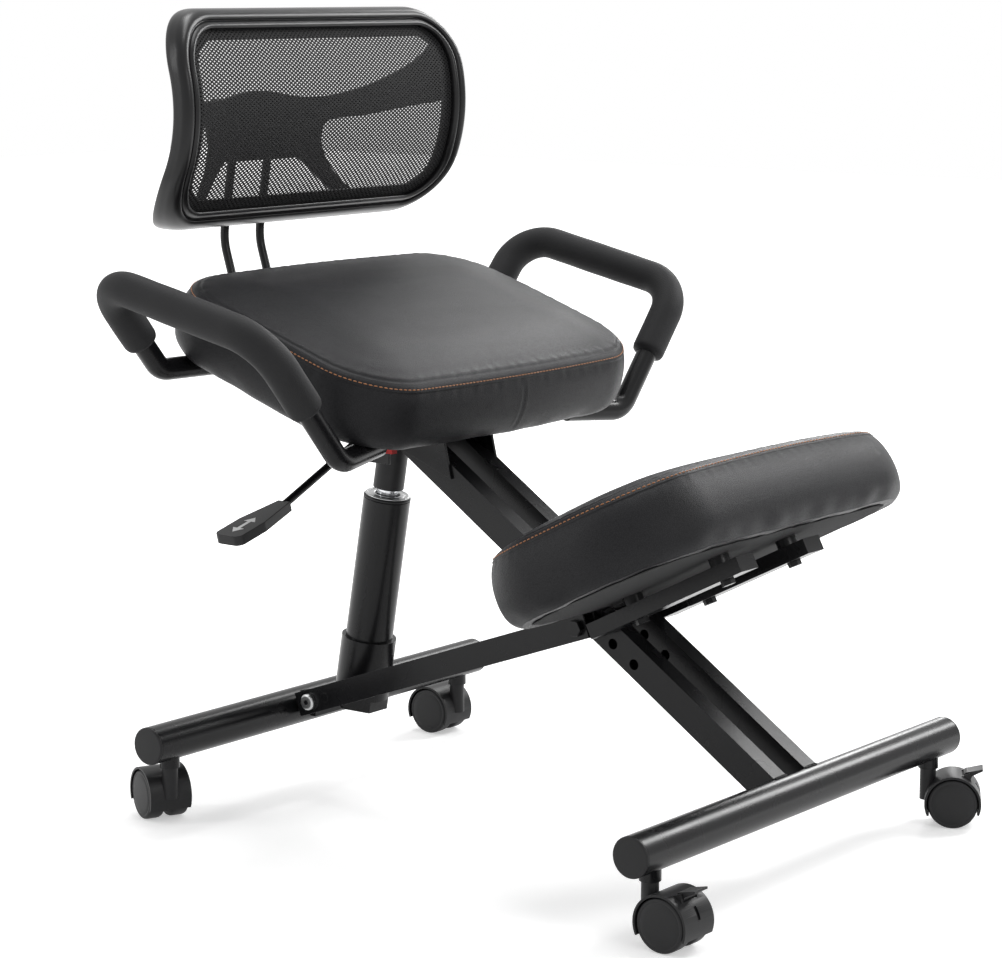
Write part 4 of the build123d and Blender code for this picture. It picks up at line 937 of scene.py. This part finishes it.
# plate between two edge curves: each loop runs over the front from the low edge to the high one, round an
# eased edge, back behind and round the other eased edge
def plateLoops(low, high):
    ease, thick = shell["easing"], shell["thickness"]
    turn = np.radians([0, 30, 60, 90])
    face = np.linspace(0, 1, shell["faceSteps"] + 1)[1:-1]
    level, corner = np.zeros(len(face)), np.zeros(2 * len(turn))
    part = np.concatenate([face, corner + 1, face[::-1], corner])
    outward = np.concatenate([ease * np.sin(turn), ease * np.sin(turn[::-1])])
    proud = np.concatenate([level, outward, level, -outward])
    edge = np.concatenate([ease * (1 - np.cos(turn)), thick - ease * (1 - np.cos(turn[::-1]))])
    depth = np.concatenate([level, edge, level + thick, edge[::-1]])
    across = high - low
    width = np.linalg.norm(across, axis=1)[:, None]
    share = (part[None] * (width - 2 * ease) + ease + proud[None]) / width
    flat = low[:, None, :] + share[..., None] * across[:, None, :]
    return np.stack([flat[..., 0], shellY(flat[..., 0]) + depth[None], flat[..., 1]], axis=-1)


# band, two legs, block and flange in one piece, each a closed tube of loops
def makeShell():
    top, low, inner, outer = (
        smoothThrough(shell[edge], shell["samples"], False)
        for edge in ("bandTop", "bandLow", "legInner", "legOuter")
    )
    half = np.unique(np.concatenate([top[:, 0], low[:, 0]]))
    x = np.concatenate([-half[:0:-1], half])
    band = plateLoops(
        np.column_stack([x, np.interp(abs(x), low[:, 0], low[:, 1])]),
        np.column_stack([x, np.interp(abs(x), top[:, 0], top[:, 1])]),
    )
    inner, outer = (evenSteps(edge, shell["legRows"], False) for edge in (inner, outer))
    legs = [plateLoops(inner * (side, 1), outer * (side, 1)) for side in (1, -1)]

    # block round the rods, and the flange that carries the legs on the rim's lower run
    halfX, halfY = shell["blockHalf"]
    count = shell["blockCount"]
    levels = [(shell["blockLow"] + rise, inset) for rise, inset in shell["blockEase"]]
    levels += [(shell["blockTop"] - rise, inset) for rise, inset in shell["blockEase"][::-1]]
    block = np.array([
        np.column_stack([
            oblong(halfX - inset, halfY - inset, shell["blockCorner"], count) + (0, shell["centreY"] + halfY),
            np.full(count, height),
        ])
        for height, inset in levels
    ])
    rows, ease = shell["flangeRows"], shell["flangeEase"]
    x = np.linspace(-shell["flangeHalf"], shell["flangeHalf"], rows)
    front = np.full(rows, shell["flangeFront"])
    rear = np.maximum(shellY(x) + shell["thickness"], front + shell["flangeLeast"])
    lowZ, topZ = shell["flangeLow"], shell["flangeTop"]
    corners = [
        (front, lowZ + ease), (front, topZ - ease), (front + ease, topZ), (rear - ease, topZ),
        (rear, topZ - ease), (rear, lowZ + ease), (rear - ease, lowZ), (front + ease, lowZ),
    ]
    flange = np.stack([np.column_stack([x, y, np.full(rows, z)]) for y, z in corners], axis=1)

    points, faces = [], []
    for loops in (band, *legs, block, flange):
        more, quads = closedLoops(loops, sum(len(group) for group in points))
        points.append(more)
        faces += quads
    piece = putPiece("backShell", np.vstack(points) * mm, faces, blackNylon, "seat_frame")
    piece.data.set_sharp_from_angle(angle=math.radians(shell["sharp"]))
    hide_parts("back_shell")
    print("back shell made")


makeShell()


# caster wheels: tread, eased shoulders, a shallow face ring and a slightly domed cap
wheel = {
    "radius": 25.0, "trail": 25.0, "around": 72,
    "profile": [
        (4.0, 4.2), (4.0, 21.0), (4.3, 22.6), (5.2, 24.0), (6.8, 24.8), (8.8, 25.0), (17.6, 25.0),
        (19.4, 24.8), (20.7, 24.2), (21.3, 23.3), (21.5, 22.3), (21.5, 21.6), (21.3, 21.2), (21.3, 20.8),
        (21.55, 20.4), (21.75, 16.0), (21.95, 10.0), (22.05, 5.0), (22.1, 0.6),
    ],
}
# the stem's x and y, and the way the wheels trail, in degrees
casters = {
    "front_right": (-240.0, -324.5, -90.0), "front_left": (240.0, -324.5, -60.0),
    "rear_right": (-228.0, 272.5, 67.0), "rear_left": (228.0, 272.5, 90.0),
}
for name, (stemX, stemY, degrees) in casters.items():
    turn = math.radians(degrees)
    trailX, trailY = wheel["trail"] * math.cos(turn), wheel["trail"] * math.sin(turn)
    centre = np.array([stemX + trailX, stemY + trailY, wheel["radius"]])
    axle = np.array([math.sin(turn), -math.cos(turn), 0.0])
    for letter, way in (("a", 1), ("b", -1)):
        node = "caster_wheel_" + name + "_" + letter
        piece = turnedPiece(
            pieceName(node), centre * mm, axle * way, np.array(wheel["profile"]) * mm, wheel["around"],
            wheelNylon, bodyOf[node],
        )
        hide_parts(node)
print("wheels made")


# flat shape: an outline on a plane given by its origin, x way and y way, raised between two levels
def flatPiece(name, outline, plane, levels, material, body):
    origin, xWay, yWay = (np.asarray(part, float) for part in plane)
    zWay = np.cross(xWay, yWay)
    outline = np.asarray(outline, float)
    flat = origin + outline[:, :1] * xWay + outline[:, 1:] * yWay
    count = len(outline)
    points = np.vstack([flat + level * zWay for level in levels]) * mm
    faces = gridFaces(2, count)
    faces.append(list(range(count))[::-1])
    faces.append(list(range(count, 2 * count)))
    mesh = putPiece(name, points, faces, material, body).data
    mesh.polygons.foreach_set("use_smooth", np.zeros(len(mesh.polygons), bool))
    mesh.update()


# two-way arrow printed on the paddle
paddle = {
    "place": (-176.0, 167.5, 323.37), "slope": 15.0, "thickness": 10.0, "sunk": 0.1, "proud": 0.12,
    "arrow": [(34, 0), (43, 7), (43, 2), (59, 2), (59, 7), (68, 0), (59, -7), (59, -2), (43, -2), (43, -7)],
}
lean = math.radians(paddle["slope"])
paddlePlane = (paddle["place"], (-math.cos(lean), 0, -math.sin(lean)), (0, -1, 0))
paddleTop = paddle["thickness"] / 2
flatPiece(
    "paddleArrow", paddle["arrow"], paddlePlane, (paddleTop - paddle["sunk"], paddleTop + paddle["proud"]),
    whitePrint, "release_lever",
)

# crimped ring at the top of the gas column
column = {
    "foot": (0.0, 214.471, 104.749), "way": (0.0, -0.170345, 0.985385), "ringAt": 211.0, "around": 64,
    "ring": [
        (0.0, 13.0), (0.9, 13.1), (1.3, 13.8), (1.3, 17.0), (0.7, 18.0), (0.7, 20.0), (1.3, 21.0),
        (1.1, 22.6), (0.0, 23.2), (-0.4, 20.0), (-0.4, 15.0),
    ],
}
ringProfile = np.array(column["ring"]) + np.array([column["ringAt"], 0.0])
turnedPiece(
    "columnRing", np.array(column["foot"]) * mm, column["way"], ringProfile * mm, column["around"], zinc,
    "lift_cylinder", ring=True,
)

# painted shade of the hexagon sockets in the two hinge screws: flat dark hexagons on the screw faces, not
# recesses
hinge = {"y": 234.5, "z": 97.5, "socket": 2.9, "levels": (-0.2, 0.1)}
turn = roundAngles(6)
hexagon = np.column_stack([np.cos(turn), np.sin(turn)]) * hinge["socket"]
for name, side in sides.items():
    bolt = "rear_bolt_" + name
    low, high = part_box(bolt)
    face = (high[0] if side > 0 else low[0]) / mm
    plane = ((face, hinge["y"], hinge["z"]), (0, side, 0), (0, 0, 1))
    socketShadeName = "hingeSocket" + name.capitalize()
    flatPiece(socketShadeName, hexagon, plane, hinge["levels"], steelPaint, bodyOf[bolt])

# red edge clip on the bracket's right cheek
clip = {
    "outline": [(-6, -7), (3, -7), (5, -5), (5, 5), (3, 7), (-6, 7)],
    "place": (-39.0, 141.0, 371.0), "levels": (-4.5, 3.0),
}
clipPlane = (clip["place"], (0, 1, 0), (0, 0, 1))
flatPiece("edgeClip", clip["outline"], clipPlane, clip["levels"], redPlastic, "seat_frame")

# weld beads where the two rails meet the front bar: a rippled run of metal along each edge
weld = {
    "places": [(-320.8, 102.6), (-307.6, 75.4)], "from": 16.0, "to": 36.0, "radius": 1.7, "rows": 60,
    "around": 14, "ripple": 0.16, "pace": 3.1, "taper": 1.5, "least": 0.05,
}
for name, side in sides.items():
    for order, (y, z) in enumerate(weld["places"]):
        along = np.linspace(weld["from"], weld["to"], weld["rows"])
        path = np.column_stack([side * along, np.full(weld["rows"], y), np.full(weld["rows"], z)]) * mm
        fromEnd = np.minimum(along - along[0], along[-1] - along)
        ripple = 1 + weld["ripple"] * np.sin(along * weld["pace"])
        ripple *= np.sqrt(np.clip(fromEnd / weld["taper"], weld["least"], 1))
        radius = weld["radius"] * ripple * mm
        beadName = "weld" + name.capitalize() + str(order)
        tubePiece(beadName, path, radius, weld["around"], steelPaint, "seat_frame")
print("fittings made")


# camera, floor and light
view = {
    "azimuth": -51.8, "elevation": 9.5, "distance": 2.896, "target": (-0.0317, 0.0053, 0.3508), "lens": 106.1,
    "sensor": 36.0, "clip": (0.05, 60.0),
}
azimuth, elevation = math.radians(view["azimuth"]), math.radians(view["elevation"])
away = np.array([
    math.sin(azimuth) * math.cos(elevation), -math.cos(azimuth) * math.cos(elevation), math.sin(elevation)
])
cameraData = bpy.data.cameras.new("camera")
cameraData.lens = view["lens"]
cameraData.sensor_width = view["sensor"]
cameraData.clip_start, cameraData.clip_end = view["clip"]
camera = putObject("camera", cameraData)
camera.location = np.array(view["target"]) + away * view["distance"]
camera.rotation_euler = (math.pi / 2 - elevation, 0.0, azimuth)
bpy.context.scene.camera = camera

studio = {
    "floorHalf": 9.0, "floorColour": (0.82, 0.82, 0.82, 1.0), "nearGlow": 0.42, "glowFrom": 0.7,
    "glowTo": 1.5, "worldLight": 0.5,
}


# 1 for a ray from the camera, off a glossy face or through a clear one, else 0
def seenRay(tree):
    path = tree.nodes.new("ShaderNodeLightPath")
    direct, glossy, clear = (
        Wire(tree, path.outputs["Is " + kind + " Ray"]) for kind in ("Camera", "Glossy", "Transmission")
    )
    return direct + glossy + clear > 0.5


# pale floor that glows to white with the distance, for seen rays only
def makeFloor():
    look = Finish(
        "paleFloor", Roughness=0.7, Specular_IOR_Level=0.2, Base_Color=studio["floorColour"],
        Emission_Strength=1.0,
    )
    outward = look.node("VectorMath", {"operation": "LENGTH"}, {0: look.objectPlace()}, out=1)
    far = look.softRise(outward, studio["glowFrom"], studio["glowTo"])
    glow = seenRay(look.tree) * (studio["nearGlow"] + (1 - studio["nearGlow"]) * far)
    look.feed("Emission Color", look.mixColour(glow, (0.0, 0.0, 0.0), (1.0, 1.0, 1.0)))
    half = studio["floorHalf"]
    mesh = bpy.data.meshes.new("floor")
    corners = [(-half, -half, 0), (half, -half, 0), (half, half, 0), (-half, half, 0)]
    mesh.from_pydata(corners, [], [(0, 1, 2, 3)])
    mesh.materials.append(look.material)
    floor = putObject("floor", mesh)


# white world: full strength for seen rays, less as a light
def makeWorld():
    world = bpy.data.worlds.new("studio")
    world.use_nodes = True
    tree = world.node_tree
    ground = tree.nodes["Background"]
    strength = studio["worldLight"] + (1 - studio["worldLight"]) * seenRay(tree)
    plug(tree, ground.inputs["Strength"], strength)
    ground.inputs["Color"].default_value = (1.0, 1.0, 1.0, 1.0)
    bpy.context.scene.world = world


# strip lamp at a place, turned to face an aim
def makeLamp(name, place, aim, size, power):
    data = bpy.data.lights.new(name, "AREA")
    data.shape = "RECTANGLE"
    data.size, data.size_y = size
    data.energy = power
    lamp = putObject(name, data)
    lamp.location = place
    way = np.array(aim) - np.array(place)
    flat = math.hypot(way[0], way[1])
    lamp.rotation_euler = (math.atan2(flat, -way[2]), 0.0, math.atan2(way[1], way[0]) - math.pi / 2)


makeFloor()
makeWorld()
makeLamp("topStrip", (0.2, 0.4, 2.5), (0.0, 0.0, 0.3), (0.5, 1.8), 22)
makeLamp("backStrip", (2.4, 0.9, 1.6), (0.0, 0.0, 0.5), (0.4, 1.5), 18)
makeLamp("leftStrip", (-2.0, 1.9, 1.6), (0.0, 0.0, 0.4), (0.4, 1.7), 16)
makeLamp("frontStrip", (-0.6, -2.8, 1.7), (0.0, 0.0, 0.4), (1.4, 0.5), 14)
makeLamp("rightStrip", (2.25, -0.8, 2.0), (0.0, -0.1, 0.4), (0.6, 1.5), 52)
bpy.context.scene.view_settings.view_transform = "Standard"
print("stage set")
